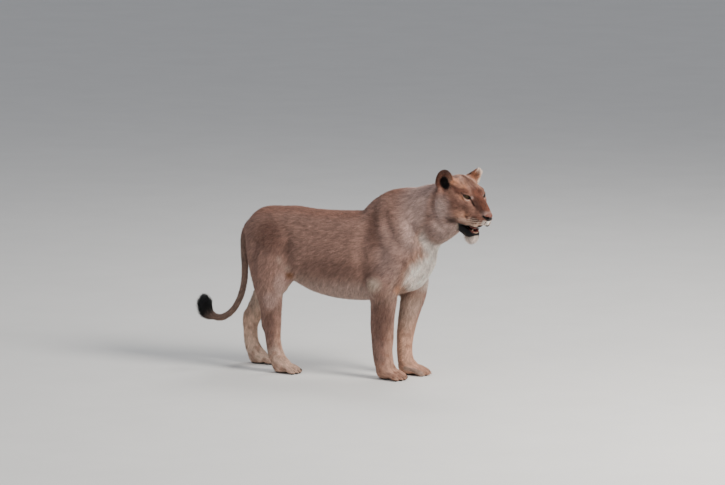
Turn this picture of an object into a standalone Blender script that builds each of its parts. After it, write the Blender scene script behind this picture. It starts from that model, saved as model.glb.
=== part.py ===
"""A life-size standing lioness, mouth open, head turned to its right.

The body is a set of named masses of muscle, bone and coat. Their distance fields flow into one
another, the surface of the whole is meshed once, and thin cuts part it into the named pieces.

Metres. The animal faces +X, its left is +Y and the floor is z = 0. The masses are given from a
point on the floor between the fore paws, and the finished solids are moved to MIDDLE.
"""

import bpy
import bmesh
import numpy as np
import openvdb
from mathutils import Matrix, Vector

# ---------------------------------------------------------------- driving dimensions
GRID = 0.004                    # mesh spacing of the surface before it is thinned
BODY_TRIANGLES = 4500           # faces left on the whole body
GAP = 0.0003                    # between pieces that meet
FLAT_ANGLE = np.radians(2.5)    # faces that turn less than this are joined
SHARP_ANGLE = np.radians(50)    # edges that turn more than this are shaded sharp
FAR = 0.25                      # value of the field away from every mass
REACH = 0.02                    # how far round a mass its field is worked out

SIDES = {"right": -1, "left": 1}

MIDDLE = (-0.26606, -0.00901, 0)  # under the middle of the whole animal

# Cuts between the pieces: a point and the way the cut faces.
NECK_CUT = (0.125, 0, 0.82), (0.86, 0, 0.51)
CHEST_CUT = (-0.135, 0, 0), (1, 0, 0)
LOIN_CUT = (-0.545, 0, 0.63), (1, 0, 0.10)
ELBOW_CUT = (0, 0, 0.417), (-0.235, 0, 1)
WRIST_CUT = (0, 0, 0.092), (0, 0, 1)
GROIN_CUT = (0, 0, 0.458), (0, 0, 1)
HOCK_CUT = (0, 0, 0.300), (0, 0, 1)
HIND_PAW_CUT = (0, 0, 0.074), (0, 0, 1)
SHOULDER_CUT_Y, SHOULDER_LEAN = 0.078, 0.28
THIGH_CUT_Y, THIGH_LEAN = 0.046, 0.10
TAIL_BASE_CUT = (-0.838, 0, 0), (1, 0, 0)
TAIL_UPPER_CUT = (-0.900, 0, 0.363), (0.45, 0, 0.89)
TAIL_BEND_CUT = (-0.976, 0, 0.276), (0.90, 0, 0.43)
TAIL_TUFT_CUT = (-1.058, 0, 0.276), (0.93, 0, -0.37)
NAPE_CUT = (-0.186, 0, -0.060), (0.97, 0, 0.24)         # these four are in the head frame
NOSE_CUT = (0.134, 0, -0.079), (0.93, 0, 0.36)
LIP_CUT = (0, 0, -0.1585), (0.10, 0, 1)
EAR_CUT_Y, EAR_CUT = 0.080, (-0.134, 0.034, 0.10, 0.52, 0.85)

JAW_OPEN = 17.0                 # degrees
EYE_RADIUS = 0.0185
EYE_APART = 0.096               # between the eyeball centres
GAZE = 24.0                     # degrees that each eye turns outward
LID_SLANT = 20.0                # degrees that the inner corner of the lids is lowered

COAT = (0.44, 0.31, 0.20)
PALE_COAT = (0.72, 0.62, 0.50)
FACE_COAT = (0.46, 0.29, 0.17)
TUFT_HAIR = (0.030, 0.020, 0.016)
NOSE_SKIN = (0.10, 0.055, 0.05)
IRIS = (0.35, 0.20, 0.06)
TONGUE_SKIN = (0.50, 0.20, 0.19)


# ---------------------------------------------------------------- directions and places
def unit(v):
    v = np.asarray(v, float)
    return v / np.linalg.norm(v)


def turned(yaw=0.0, pitch=0.0, roll=0.0):
    """Columns are the turned forward, left and up axes. Positive pitch lowers the nose."""
    y, p, r = np.radians((yaw, pitch, roll))
    about_z = np.array([[np.cos(y), -np.sin(y), 0], [np.sin(y), np.cos(y), 0], [0, 0, 1]])
    about_y = np.array([[np.cos(p), 0, np.sin(p)], [0, 1, 0], [-np.sin(p), 0, np.cos(p)]])
    about_x = np.array([[1, 0, 0], [0, np.cos(r), -np.sin(r)], [0, np.sin(r), np.cos(r)]])
    return about_z @ about_y @ about_x


class Place:
    """A local frame: masses given in it are put where its origin and axes say."""

    def __init__(self, origin=(0, 0, 0), axes=None, parent=None):
        self.origin = np.asarray(origin, float)
        self.axes = np.eye(3) if axes is None else np.asarray(axes, float)
        if parent is not None:
            self.origin = parent.point(origin)
            self.axes = parent.axes @ self.axes

    def point(self, p):
        return self.origin + self.axes @ np.asarray(p, float)

    def vector(self, v):
        return self.axes @ np.asarray(v, float)

    def matrix(self):
        m = Matrix(self.axes.tolist()).to_4x4()
        m.translation = Vector(self.origin)
        return m


WORLD = Place()
# Head frame: origin midway between the eyes, +X to the nose, +Z to the crown.
HEAD = Place((0.4846, -0.115, 1.013), turned(yaw=-34, pitch=9.5))
# Jaw frame: origin on the jaw's hinge, turned open with the jaw.
JAW = Place((-0.115, 0, -0.045), turned(pitch=JAW_OPEN), parent=HEAD)


# ---------------------------------------------------------------- masses as distance fields
def smooth_min(a, b, blend):
    h = np.maximum(blend - np.abs(a - b), 0.0) / blend
    return np.minimum(a, b) - h * h * blend * 0.25


def eased(stations, steps):
    """Catmull-Rom through the stations, each a row of numbers, with steps points to a span."""
    s = np.asarray(stations, float)
    s = np.vstack([2 * s[0] - s[1], s, 2 * s[-1] - s[-2]])
    rows = []
    for a, b, c, d in zip(s[:-3], s[1:-2], s[2:-1], s[3:]):
        for t in np.linspace(0, 1, steps, endpoint=False):
            rows.append(0.5 * (2 * b + (c - a) * t + (2 * a - 5 * b + 4 * c - d) * t * t
                               + (3 * b - a - 3 * c + d) * t ** 3))
    rows.append(s[-2])
    return np.array(rows)


def mass(low, high, distance, blend, carve=False):
    return {"low": low, "high": high, "distance": distance, "blend": blend, "carve": carve}


def ball(centre, radii, blend=0.03, place=WORLD, carve=False):
    """An ellipsoid. carve takes it away from what came before."""
    c = place.point(centre)
    r = np.broadcast_to(np.asarray(radii, float), 3)
    reach = np.sqrt(((place.axes * r) ** 2).sum(axis=1))

    def distance(p):
        q = (p - c) @ place.axes
        near = np.sqrt(((q / r) ** 2).sum(axis=1))
        steep = np.sqrt(((q / (r * r)) ** 2).sum(axis=1))
        return near * (near - 1) / np.maximum(steep, 1e-9)

    return mass(c - reach, c + reach, distance, blend, carve)


def tube(stations, blend=0.02, place=WORLD, carve=False, steps=4):
    """A limb through stations (x, y, z, radius fore and aft, radius to the side)."""
    rows = eased(stations, steps)
    points = np.array([place.point(p) for p in rows[:, :3]])
    deep = np.maximum(rows[:, 3], 1e-4)
    wide = np.maximum(rows[:, 4], 1e-4)
    side = place.vector((0, 1, 0))
    big = np.maximum(deep, wide)

    def span(p, a, b, r0, r1, w0, w1):
        length = np.linalg.norm(b - a)
        along = (b - a) / length
        s = unit(side - along * (side @ along))
        q = p - a
        t = q @ along
        h = np.clip(t / length, 0, 1)
        r = r0 + (r1 - r0) * h
        w = w0 + (w1 - w0) * h
        over = t - h * length
        qu = q @ np.cross(along, s)
        qs = q @ s
        local = np.sqrt((qu / r) ** 2 + (qs / w) ** 2 + over * over / (r * w))
        size = np.sqrt(qu * qu + qs * qs + over * over)
        return np.where(local > 1e-6, size * (1 - 1 / np.maximum(local, 1e-6)), -r)

    def distance(p):
        best = np.full(len(p), FAR)
        for i in range(len(points) - 1):
            a, b = points[i], points[i + 1]
            reach = max(big[i], big[i + 1]) + blend + REACH
            inside = (p > np.minimum(a, b) - reach) & (p < np.maximum(a, b) + reach)
            near = np.flatnonzero(inside.all(axis=1))
            if len(near):
                d = span(p[near], a, b, deep[i], deep[i + 1], wide[i], wide[i + 1])
                best[near] = np.minimum(best[near], d)
        return best

    return mass((points - big[:, None]).min(axis=0), (points + big[:, None]).max(axis=0),
                distance, blend, carve)


def barrel(stations, blend=0.03, boxy=2.2, round_ends=0.12):
    """The trunk: stations (x, top, bottom, half width) along +X, with egg-shaped sections."""
    rows = eased(stations, 6)
    low = np.array([rows[0, 0], -rows[:, 3].max(), rows[:, 2].min()])
    high = np.array([rows[-1, 0], rows[:, 3].max(), rows[:, 1].max()])

    def distance(p):
        top, bottom, wide = (np.interp(p[:, 0], rows[:, 0], rows[:, k]) for k in (1, 2, 3))
        widest = bottom + 0.46 * (top - bottom)
        up = p[:, 2] - widest
        tall = np.where(up > 0, top - widest, widest - bottom)
        q = ((np.abs(p[:, 1]) / wide) ** boxy + (np.abs(up) / tall) ** boxy) ** (1 / boxy)
        d = np.hypot(p[:, 1], up) * (1 - 1 / np.maximum(q, 1e-3))
        ends = np.maximum(rows[0, 0] - p[:, 0], p[:, 0] - rows[-1, 0])
        return -smooth_min(-d, -ends, round_ends)

    return mass(low, high, distance, blend)


# ---------------------------------------------------------------- trunk and neck
def trunk_masses():
    yield barrel([
        (-0.85, 0.770, 0.650, 0.055),
        (-0.79, 0.830, 0.580, 0.100),
        (-0.70, 0.872, 0.530, 0.125),
        (-0.58, 0.888, 0.488, 0.136),
        (-0.46, 0.878, 0.434, 0.148),
        (-0.33, 0.876, 0.406, 0.160),
        (-0.20, 0.882, 0.400, 0.166),
        (-0.08, 0.898, 0.414, 0.160),
        (0.04, 0.900, 0.448, 0.138),
        (0.13, 0.860, 0.505, 0.108),
        (0.20, 0.800, 0.570, 0.065)])
    yield ball((0.085, 0, 0.640), (0.118, 0.112, 0.165), blend=0.05)                 # brisket
    yield ball((-0.72, 0, 0.765), (0.115, 0.112, 0.105), blend=0.05)                # croup
    yield tube([(-0.10, 0, 0.870, 0.05, 0.04), (-0.02, 0, 0.930, 0.055, 0.045),
                (0.06, 0, 0.930, 0.06, 0.05)], blend=0.05)                           # withers


def neck_masses():
    yield tube([(-0.06, 0.0, 0.860, 0.095, 0.080), (0.06, -0.002, 0.868, 0.140, 0.108),
                (0.15, -0.012, 0.868, 0.158, 0.112), (0.23, -0.032, 0.892, 0.157, 0.108),
                (0.30, -0.058, 0.930, 0.138, 0.097), (0.36, -0.085, 0.965, 0.112, 0.088)],
               blend=0.06)
    yield tube([(0.15, 0, 0.650, 0.06, 0.085), (0.185, -0.012, 0.750, 0.06, 0.080),
                (0.255, -0.038, 0.836, 0.056, 0.070), (0.33, -0.070, 0.870, 0.050, 0.062)],
               blend=0.06)                                                          # throat


# ---------------------------------------------------------------- legs and paws
FORE_LEG = {
    "right": [(-0.022, -0.122, 0.500, 0.080, 0.058), (-0.026, -0.114, 0.430, 0.076, 0.057),
              (-0.033, -0.107, 0.360, 0.069, 0.055), (-0.038, -0.103, 0.290, 0.066, 0.053),
              (-0.037, -0.101, 0.220, 0.062, 0.051), (-0.038, -0.100, 0.155, 0.056, 0.050),
              (-0.031, -0.100, 0.100, 0.054, 0.049), (-0.020, -0.100, 0.058, 0.049, 0.047)],
    "left": [(0.062, 0.122, 0.500, 0.078, 0.056), (0.060, 0.105, 0.430, 0.072, 0.055),
             (0.048, 0.094, 0.360, 0.062, 0.052), (0.035, 0.086, 0.290, 0.054, 0.049),
             (0.025, 0.081, 0.220, 0.048, 0.047), (0.021, 0.078, 0.155, 0.043, 0.045),
             (0.023, 0.078, 0.100, 0.043, 0.045), (0.032, 0.078, 0.058, 0.043, 0.044)],
}
HIND_LEG = {
    "right": [(-0.705, -0.080, 0.760, 0.120, 0.055), (-0.690, -0.105, 0.650, 0.122, 0.068),
              (-0.680, -0.120, 0.550, 0.106, 0.068), (-0.678, -0.122, 0.480, 0.090, 0.060),
              (-0.672, -0.120, 0.405, 0.073, 0.050), (-0.666, -0.118, 0.335, 0.061, 0.044),
              (-0.662, -0.116, 0.265, 0.052, 0.041), (-0.657, -0.115, 0.180, 0.043, 0.039),
              (-0.648, -0.115, 0.125, 0.043, 0.040), (-0.634, -0.115, 0.082, 0.045, 0.042),
              (-0.612, -0.115, 0.048, 0.042, 0.042)],
    "left": [(-0.715, 0.080, 0.760, 0.118, 0.055), (-0.710, 0.103, 0.650, 0.118, 0.066),
             (-0.728, 0.115, 0.550, 0.098, 0.062), (-0.760, 0.117, 0.465, 0.074, 0.054),
             (-0.798, 0.117, 0.400, 0.059, 0.046), (-0.828, 0.116, 0.340, 0.053, 0.042),
             (-0.856, 0.115, 0.280, 0.050, 0.041), (-0.879, 0.115, 0.214, 0.042, 0.039),
             (-0.881, 0.115, 0.160, 0.040, 0.039), (-0.875, 0.115, 0.110, 0.041, 0.039),
             (-0.860, 0.115, 0.074, 0.043, 0.041), (-0.842, 0.115, 0.046, 0.041, 0.041)],
}
HOCK = {"right": (-0.700, -0.117, 0.270), "left": (-0.902, 0.116, 0.245)}
FLANK_FOLD = {
    "right": [(-0.53, -0.105, 0.590, 0.05, 0.022), (-0.572, -0.115, 0.530, 0.045, 0.022),
              (-0.600, -0.120, 0.480, 0.035, 0.02)],
    "left": [(-0.56, 0.105, 0.610, 0.05, 0.022), (-0.610, 0.112, 0.570, 0.045, 0.022),
             (-0.655, 0.116, 0.530, 0.035, 0.02)],
}
FORE_PAW = {"right": Place((0.000, -0.100, 0), turned(yaw=-14)),
            "left": Place((0.062, 0.078, 0), turned(yaw=-2))}
HIND_PAW = {"right": Place((-0.590, -0.115, 0), turned(yaw=-6)),
            "left": Place((-0.822, 0.115, 0), turned(yaw=4))}
HIND_PAW_SIZE = 0.92            # against a fore paw


def shoulder_masses(s):
    yield tube([(-0.035, s * 0.048, 0.930, 0.035, 0.028), (-0.005, s * 0.075, 0.880, 0.060, 0.038),
                (0.035, s * 0.104, 0.790, 0.082, 0.048), (0.080, s * 0.120, 0.700, 0.085, 0.050),
                (0.095, s * 0.124, 0.640, 0.080, 0.050)], blend=0.045)               # shoulder blade
    yield tube([(0.092, s * 0.124, 0.650, 0.078, 0.050), (0.045, s * 0.130, 0.580, 0.088, 0.056),
                (-0.015, s * 0.130, 0.520, 0.080, 0.058), (-0.035, s * 0.128, 0.480, 0.070, 0.054)],
               blend=0.05)                                                          # upper arm
    yield ball((-0.074, s * 0.128, 0.504), (0.036, 0.030, 0.040), blend=0.04)       # point of elbow


def paw_masses(place, k=1.0):
    """A paw k times the size of a fore paw: heel at -X, four toes at +X, sole on the floor."""
    yield ball((-0.010 * k, 0, 0.034 * k), (0.056 * k, 0.050 * k, 0.036 * k), place=place)
    yield ball((-0.012 * k, 0, 0.010 * k), (0.044 * k, 0.038 * k, 0.022 * k), blend=0.012, place=place)
    for across, ahead in ((-0.039, -0.012), (-0.0135, 0.0), (0.0135, 0.0), (0.039, -0.012)):
        x, y = ahead * k, across * k
        yield tube([(0.016 * k + x, y * 0.85, 0.038 * k, 0.018 * k, 0.0165 * k),
                    (0.046 * k + x, y, 0.031 * k, 0.0185 * k, 0.0165 * k),
                    (0.072 * k + x, y * 1.06, 0.019 * k, 0.0180 * k, 0.0160 * k),
                    (0.086 * k + x, y * 1.10, 0.011 * k, 0.0155 * k, 0.0140 * k)],
                   blend=0.010, place=place, steps=3)


def leg_masses():
    for name, s in SIDES.items():
        yield from shoulder_masses(s)
        yield tube(FORE_LEG[name], blend=0.035)
        yield from paw_masses(FORE_PAW[name])
        yield tube(HIND_LEG[name], blend=0.045)
        yield ball(HOCK[name], (0.018, 0.020, 0.040))
        yield from paw_masses(HIND_PAW[name], HIND_PAW_SIZE)
        yield tube(FLANK_FOLD[name], blend=0.05)


# ---------------------------------------------------------------- tail
TAIL = [(-0.765, 0, 0.805, 0.040, 0.040), (-0.820, 0, 0.775, 0.036, 0.036),
        (-0.858, 0, 0.720, 0.030, 0.030), (-0.868, 0, 0.640, 0.025, 0.025),
        (-0.866, 0, 0.551, 0.022, 0.022), (-0.869, 0, 0.470, 0.021, 0.021),
        (-0.884, 0, 0.400, 0.0205, 0.0205), (-0.910, 0, 0.340, 0.020, 0.020),
        (-0.948, 0, 0.290, 0.0195, 0.0195), (-1.004, 0, 0.257, 0.0200, 0.0200),
        (-1.058, 0, 0.265, 0.0235, 0.0235)]
TUFT = Place((-1.093, 0, 0.318), turned(pitch=-22))


def tail_masses():
    yield tube(TAIL, blend=0.012, steps=3)
    yield ball((0, 0, 0), (0.044, 0.043, 0.054), blend=0.02, place=TUFT)


# ---------------------------------------------------------------- head
# By side, -1 right and 1 left: where the ear stands in the head frame, and its size.
EAR_ROOT = {-1: (-0.134, 0.109, 0.046), 1: (-0.132, 0.102, 0.042)}
EAR_SIZE = {-1: 0.97, 1: 0.88}


def ear_place(s):
    """Ear frame: +X out of the opening, +Z to the ear's tip."""
    ahead, out_from, high = EAR_ROOT[s]
    opening = np.radians(38)
    up = unit((0.10, s * 0.14, 0.98))
    out = np.array((np.cos(opening), s * np.sin(opening), 0.0))
    out = unit(out - up * (out @ up))
    return Place((ahead, s * out_from, high), np.column_stack((out, np.cross(up, out), up)), parent=HEAD)


def ear_masses():
    for s in SIDES.values():
        ear = ear_place(s)
        k = EAR_SIZE[s]
        yield ball((-0.006 * k, 0, 0), np.array((0.032, 0.045, 0.063)) * k, blend=0.022, place=ear)
        yield ball((-0.028, 0, -0.022), (0.036, 0.036, 0.042), place=ear)
        yield ball((0.022 * k, -s * 0.003, -0.010 * k), np.array((0.036, 0.034, 0.047)) * k,
                   blend=0.010, place=ear, carve=True)
        yield ball((0, -s * 0.004, -0.016), (0.022, 0.018, 0.026), blend=0.010, place=ear, carve=True)


def eye_place(s):
    return Place((-0.009, s * EYE_APART / 2, -0.005), turned(yaw=s * GAZE), parent=HEAD)


def skull_masses():
    yield ball((-0.118, 0, -0.014), (0.116, 0.084, 0.087), blend=0.04, place=HEAD)          # cranium
    yield ball((-0.050, 0, 0.006), (0.080, 0.060, 0.042), place=HEAD)                       # forehead
    yield tube([(-0.015, 0, -0.006, 0.038, 0.034), (0.055, 0, -0.030, 0.036, 0.028),
                (0.108, 0, -0.068, 0.034, 0.027), (0.127, 0, -0.086, 0.026, 0.025)], place=HEAD)  # bridge
    yield ball((0.130, 0, -0.079), (0.024, 0.025, 0.021), blend=0.012, place=HEAD)          # nose


def face_masses(s):
    yield tube([(0.008, s * 0.030, 0.008, 0.015, 0.013), (-0.010, s * 0.050, 0.014, 0.015, 0.013),
                (-0.045, s * 0.068, 0.006, 0.016, 0.014)], blend=0.025, place=HEAD)         # brow
    yield tube([(-0.020, s * 0.040, -0.062, 0.042, 0.028), (0.038, s * 0.026, -0.090, 0.038, 0.023),
                (0.084, s * 0.022, -0.104, 0.038, 0.025)], blend=0.022, place=HEAD)         # upper jaw
    yield ball((0.080, s * 0.025, -0.113), (0.046, 0.031, 0.040), blend=0.016, place=HEAD)  # whisker pad
    yield tube([(0.078, s * 0.039, -0.132, 0.020, 0.016), (0.030, s * 0.052, -0.137, 0.022, 0.015),
                (-0.015, s * 0.066, -0.138, 0.024, 0.016)], blend=0.016, place=HEAD)        # side of the lip
    yield tube([(0.006, s * 0.054, -0.040, 0.018, 0.016), (-0.045, s * 0.080, -0.038, 0.022, 0.018),
                (-0.105, s * 0.086, -0.022, 0.022, 0.018)], blend=0.03, place=HEAD)         # cheek bone
    yield ball((-0.072, s * 0.066, -0.082), (0.068, 0.044, 0.070), blend=0.035, place=HEAD)  # cheek
    yield ball((-0.138, s * 0.074, -0.090), (0.062, 0.056, 0.090), blend=0.035, place=HEAD)  # ruff
    yield ball((0, 0, 0), EYE_RADIUS + 0.004, blend=0.012, place=eye_place(s))              # lids


def jaw_masses():
    """Points are from the hinge, in the jaw's own frame."""
    for s in SIDES.values():
        yield tube([(0.020, s * 0.058, -0.085, 0.036, 0.026), (0.090, s * 0.045, -0.108, 0.028, 0.022),
                    (0.150, s * 0.027, -0.114, 0.025, 0.019), (0.178, s * 0.014, -0.113, 0.024, 0.018)],
                   place=JAW)
    yield ball((0.180, 0, -0.117), (0.026, 0.028, 0.026), blend=0.02, place=JAW)            # chin
    yield ball((0.165, 0, -0.143), (0.046, 0.027, 0.034), blend=0.02, place=JAW)            # its tuft
    yield ball((0.105, 0, -0.118), (0.085, 0.044, 0.022), blend=0.02, place=JAW)            # mouth floor


def mouth_masses():
    """The open mouth, carved between the jaws, and the lower canines that stand in it."""
    yield tube([(-0.040, 0, -0.150, 0.004, 0.070), (-0.005, 0, -0.156, 0.008, 0.064),
                (0.045, 0, -0.168, 0.015, 0.054), (0.110, 0, -0.180, 0.024, 0.052)],
               blend=0.006, place=HEAD, carve=True)
    yield ball((0.045, 0, -0.150), (0.068, 0.032, 0.024), blend=0.008, place=HEAD, carve=True)
    yield ball((0.125, 0, -0.086), (0.062, 0.025, 0.020), blend=0.008, place=JAW, carve=True)
    for s in SIDES.values():
        yield tube([(0.182, s * 0.0165, -0.100, 0.0065, 0.0060), (0.186, s * 0.0170, -0.084, 0.0055, 0.0050),
                    (0.191, s * 0.0180, -0.068, 0.0025, 0.0025)], blend=0.003, place=JAW)


def head_masses():
    yield from jaw_masses()
    yield from skull_masses()
    for s in SIDES.values():
        yield from face_masses(s)
    yield from mouth_masses()
    yield from ear_masses()


# ---------------------------------------------------------------- one surface from the masses
def field_on_grid(axes, masses):
    """The field at every grid point. Each mass is worked out only in its own box."""
    values = np.full([len(a) for a in axes], FAR, np.float32)
    for m in masses:
        margin = REACH + m["blend"]
        cut = []
        for k, a in enumerate(axes):
            first = np.searchsorted(a, m["low"][k] - margin)
            last = np.searchsorted(a, m["high"][k] + margin)
            cut.append(slice(first, last))
        cut = tuple(cut)
        grid = np.meshgrid(*[a[c] for a, c in zip(axes, cut)], indexing="ij")
        points = np.stack([g.ravel() for g in grid], axis=1)
        d = m["distance"](points).astype(np.float32).reshape(grid[0].shape)
        if m["carve"]:
            values[cut] = -smooth_min(-values[cut], d, m["blend"])
        else:
            values[cut] = smooth_min(values[cut], d, m["blend"])
    return values


def surface(name, masses, step=GRID):
    """A closed mesh of the masses' joint surface."""
    low = np.min([m["low"] for m in masses], axis=0) - 4 * step
    high = np.max([m["high"] for m in masses], axis=0) + 4 * step
    axes = [np.arange(a, b, step) for a, b in zip(low, high)]
    grid = openvdb.FloatGrid(FAR)
    grid.copyFromArray(field_on_grid(axes, masses))
    points, quads = grid.convertToQuads(0.0)
    mesh = bpy.data.meshes.new(name)
    mesh.from_pydata((points * step + low).tolist(), [], quads.tolist())
    ob = bpy.data.objects.new(name, mesh)
    bpy.context.scene.collection.objects.link(ob)
    return ob


def apply_modifiers(ob):
    """Replace the object's mesh with its evaluated one."""
    evaluated = ob.evaluated_get(bpy.context.evaluated_depsgraph_get())
    done = bpy.data.meshes.new_from_object(evaluated)
    ob.modifiers.clear()
    ob.data = done
    return ob


def thinned(ob, triangles):
    thin = ob.modifiers.new("thin", "DECIMATE")
    thin.ratio = triangles / (2 * len(ob.data.polygons))
    thin.use_collapse_triangulate = True
    return apply_modifiers(ob)


# ---------------------------------------------------------------- parting the body
def half(bm, point, normal, shift):
    """A closed copy of what lies beyond the plane, moved shift along its normal."""
    kept = bm.copy()
    point = Vector(point) + Vector(normal) * shift
    bmesh.ops.bisect_plane(kept, geom=kept.verts[:] + kept.edges[:] + kept.faces[:], dist=1e-6,
                           plane_co=point, plane_no=normal, clear_inner=True)
    rim = [e for e in kept.edges if e.is_boundary]
    bmesh.ops.holes_fill(kept, edges=rim, sides=0)
    return kept


def parted(bm, point, normal):
    """Both sides of a thin planar cut: what lies behind the plane, then what lies beyond it."""
    n = Vector(normal).normalized()
    return half(bm, point, -n, GAP / 2), half(bm, point, n, GAP / 2)


def islands(bm):
    """The loose bodies of a mesh, each as its own mesh."""
    bm.verts.index_update()
    left = set(bm.verts)
    found = []
    while left:
        seed = left.pop()
        group = {seed}
        front = [seed]
        while front:
            for edge in front.pop().link_edges:
                for v in edge.verts:
                    if v not in group:
                        group.add(v)
                        front.append(v)
        left -= group
        keep = {v.index for v in group}
        piece = bm.copy()
        piece.verts.index_update()
        bmesh.ops.delete(piece, geom=[v for v in piece.verts if v.index not in keep], context="VERTS")
        found.append(piece)
    return found


def middle(bm):
    return sum((v.co for v in bm.verts), Vector()) / len(bm.verts)


def by_side(bm):
    """The two loose bodies of a mesh, right and left of the midline, and any between them."""
    pieces = sorted(islands(bm), key=lambda piece: middle(piece).y)
    return pieces[0], pieces[-1], pieces[1:-1]


def head_parted(bm, cut):
    """A cut that is given in the head frame."""
    point, normal = cut
    return parted(bm, HEAD.point(point), HEAD.vector(normal))


def cut_head(pieces, bm):
    """Ears, nose and lower jaw come off the head."""
    x, z, ahead, out, up = EAR_CUT
    for name, s in SIDES.items():
        root = (x, s * EAR_CUT_Y, z), (ahead, s * out, up)
        bm, pieces["ear_" + name] = head_parted(bm, root)
    bm, pieces["nose"] = head_parted(bm, NOSE_CUT)
    pieces["lower_jaw"], pieces["head"] = head_parted(bm, LIP_CUT)


def cut_forequarters(pieces, bm):
    legs, upper = parted(bm, *ELBOW_CUT)
    right, left, _ = by_side(legs)
    for name, leg in (("right", right), ("left", left)):
        pieces["fore_paw_" + name], pieces["forearm_" + name] = parted(leg, *WRIST_CUT)
    for name, s in SIDES.items():
        side = (0, s * SHOULDER_CUT_Y, 0.65), (0, s, SHOULDER_LEAN)
        upper, pieces["shoulder_" + name] = parted(upper, *side)
    pieces["chest"] = upper


def cut_hindquarters(pieces, bm):
    legs, upper = parted(bm, *GROIN_CUT)
    right, left, between = by_side(legs)
    tail = between[0]
    for name, leg in (("right", right), ("left", left)):
        lower, pieces["shank_" + name] = parted(leg, *HOCK_CUT)
        pieces["hind_paw_" + name], pieces["hock_" + name] = parted(lower, *HIND_PAW_CUT)
    for name, s in SIDES.items():
        side = (0, s * THIGH_CUT_Y, 0.65), (0, s, THIGH_LEAN)
        upper, pieces["thigh_" + name] = parted(upper, *side)
    pieces["tail_base"], pieces["rump"] = parted(upper, *TAIL_BASE_CUT)
    tail, pieces["tail_upper"] = parted(tail, *TAIL_UPPER_CUT)
    tail, pieces["tail_bend"] = parted(tail, *TAIL_BEND_CUT)
    pieces["tail_tuft"], pieces["tail_end"] = parted(tail, *TAIL_TUFT_CUT)


def cut_body(bm):
    """Every named piece of the body, from thin cuts through the whole, and flat soles at z = 0."""
    pieces = {}
    body = half(bm, (0, 0, 0), (0, 0, 1), 0)
    body, head = head_parted(body, NAPE_CUT)
    cut_head(pieces, head)
    body, pieces["neck"] = parted(body, *NECK_CUT)
    rear, front = parted(body, *CHEST_CUT)
    cut_forequarters(pieces, front)
    hind, pieces["belly"] = parted(rear, *LOIN_CUT)
    cut_hindquarters(pieces, hind)
    return pieces


# ---------------------------------------------------------------- objects and materials
def material(name, colour, roughness):
    found = bpy.data.materials.new(name)
    found.use_nodes = True
    shader = found.node_tree.nodes["Principled BSDF"]
    shader.inputs["Base Color"].default_value = (*colour, 1)
    shader.inputs["Roughness"].default_value = roughness
    shader.inputs["Metallic"].default_value = 0.0
    return found


def coat_colour(name):
    if name == "tail_tuft":
        return TUFT_HAIR
    if name.startswith(("head", "ear")):
        return FACE_COAT
    if name.startswith(("fore_paw", "hind_paw", "hock", "lower_jaw", "belly")):
        return PALE_COAT
    return COAT


def into(collection, ob):
    for other in ob.users_collection:
        other.objects.unlink(ob)
    collection.objects.link(ob)


def flesh_object(name, bm, collection):
    bmesh.ops.dissolve_degenerate(bm, dist=2e-5, edges=bm.edges[:])
    bmesh.ops.dissolve_limit(bm, angle_limit=FLAT_ANGLE, verts=bm.verts[:], edges=bm.edges[:])
    bmesh.ops.triangulate(bm, faces=[f for f in bm.faces if len(f.verts) > 3])
    bmesh.ops.recalc_face_normals(bm, faces=bm.faces[:])
    bmesh.ops.translate(bm, verts=bm.verts[:], vec=-Vector(MIDDLE))
    mesh = bpy.data.meshes.new(name)
    bm.to_mesh(mesh)
    bm.free()
    mesh.shade_smooth()
    mesh.set_sharp_from_angle(angle=SHARP_ANGLE)
    if name == "nose":
        mesh.materials.append(material(name, NOSE_SKIN, 0.45))
    else:
        mesh.materials.append(material(name, coat_colour(name), 0.85))
    ob = bpy.data.objects.new(name, mesh)
    collection.objects.link(ob)
    return ob


def sphere(name, radius, place, scale=(1, 1, 1), segments=16, rings=8):
    bpy.ops.mesh.primitive_uv_sphere_add(segments=segments, ring_count=rings, radius=radius)
    ob = bpy.context.object
    ob.name = name
    ob.data.transform(Matrix.Rotation(np.radians(90), 4, "Y"))
    ob.data.transform(Matrix.Diagonal((*scale, 1)))
    ob.matrix_world = Matrix.Translation(-Vector(MIDDLE)) @ place.matrix()
    return ob


def cut_away(ob, cutters, cutter):
    into(cutters, cutter)
    cutter.hide_render = True
    cutter.display_type = "WIRE"
    cut = ob.modifiers.new("cut " + cutter.name, "BOOLEAN")
    cut.operation = "DIFFERENCE"
    cut.object = cutter


def eyes(head, cutters, collection):
    """Eyeballs in sockets, with an almond opening between the lids."""
    for name, s in SIDES.items():
        place = eye_place(s)
        eye = sphere("eye_" + name, EYE_RADIUS, place)
        eye.data.shade_smooth()
        eye.data.materials.append(material("eye_" + name, IRIS, 0.1))
        into(collection, eye)
        socket = sphere("socket_" + name, EYE_RADIUS + 2 * GAP, place)
        cut_away(head, cutters, socket)
        opening = Place((0.022, 0, 0), turned(roll=s * LID_SLANT), parent=place)
        slit = sphere("lid_opening_" + name, 1.0, opening, scale=(0.020, 0.019, 0.0095))
        cut_away(head, cutters, slit)


def tongue(collection):
    place = Place((0.132, 0, -0.0865), turned(pitch=-7), parent=JAW)
    ob = sphere("tongue", 1.0, place, scale=(0.056, 0.0165, 0.0065))
    ob.data.shade_smooth()
    ob.data.materials.append(material("tongue", TONGUE_SKIN, 0.35))
    into(collection, ob)


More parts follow.
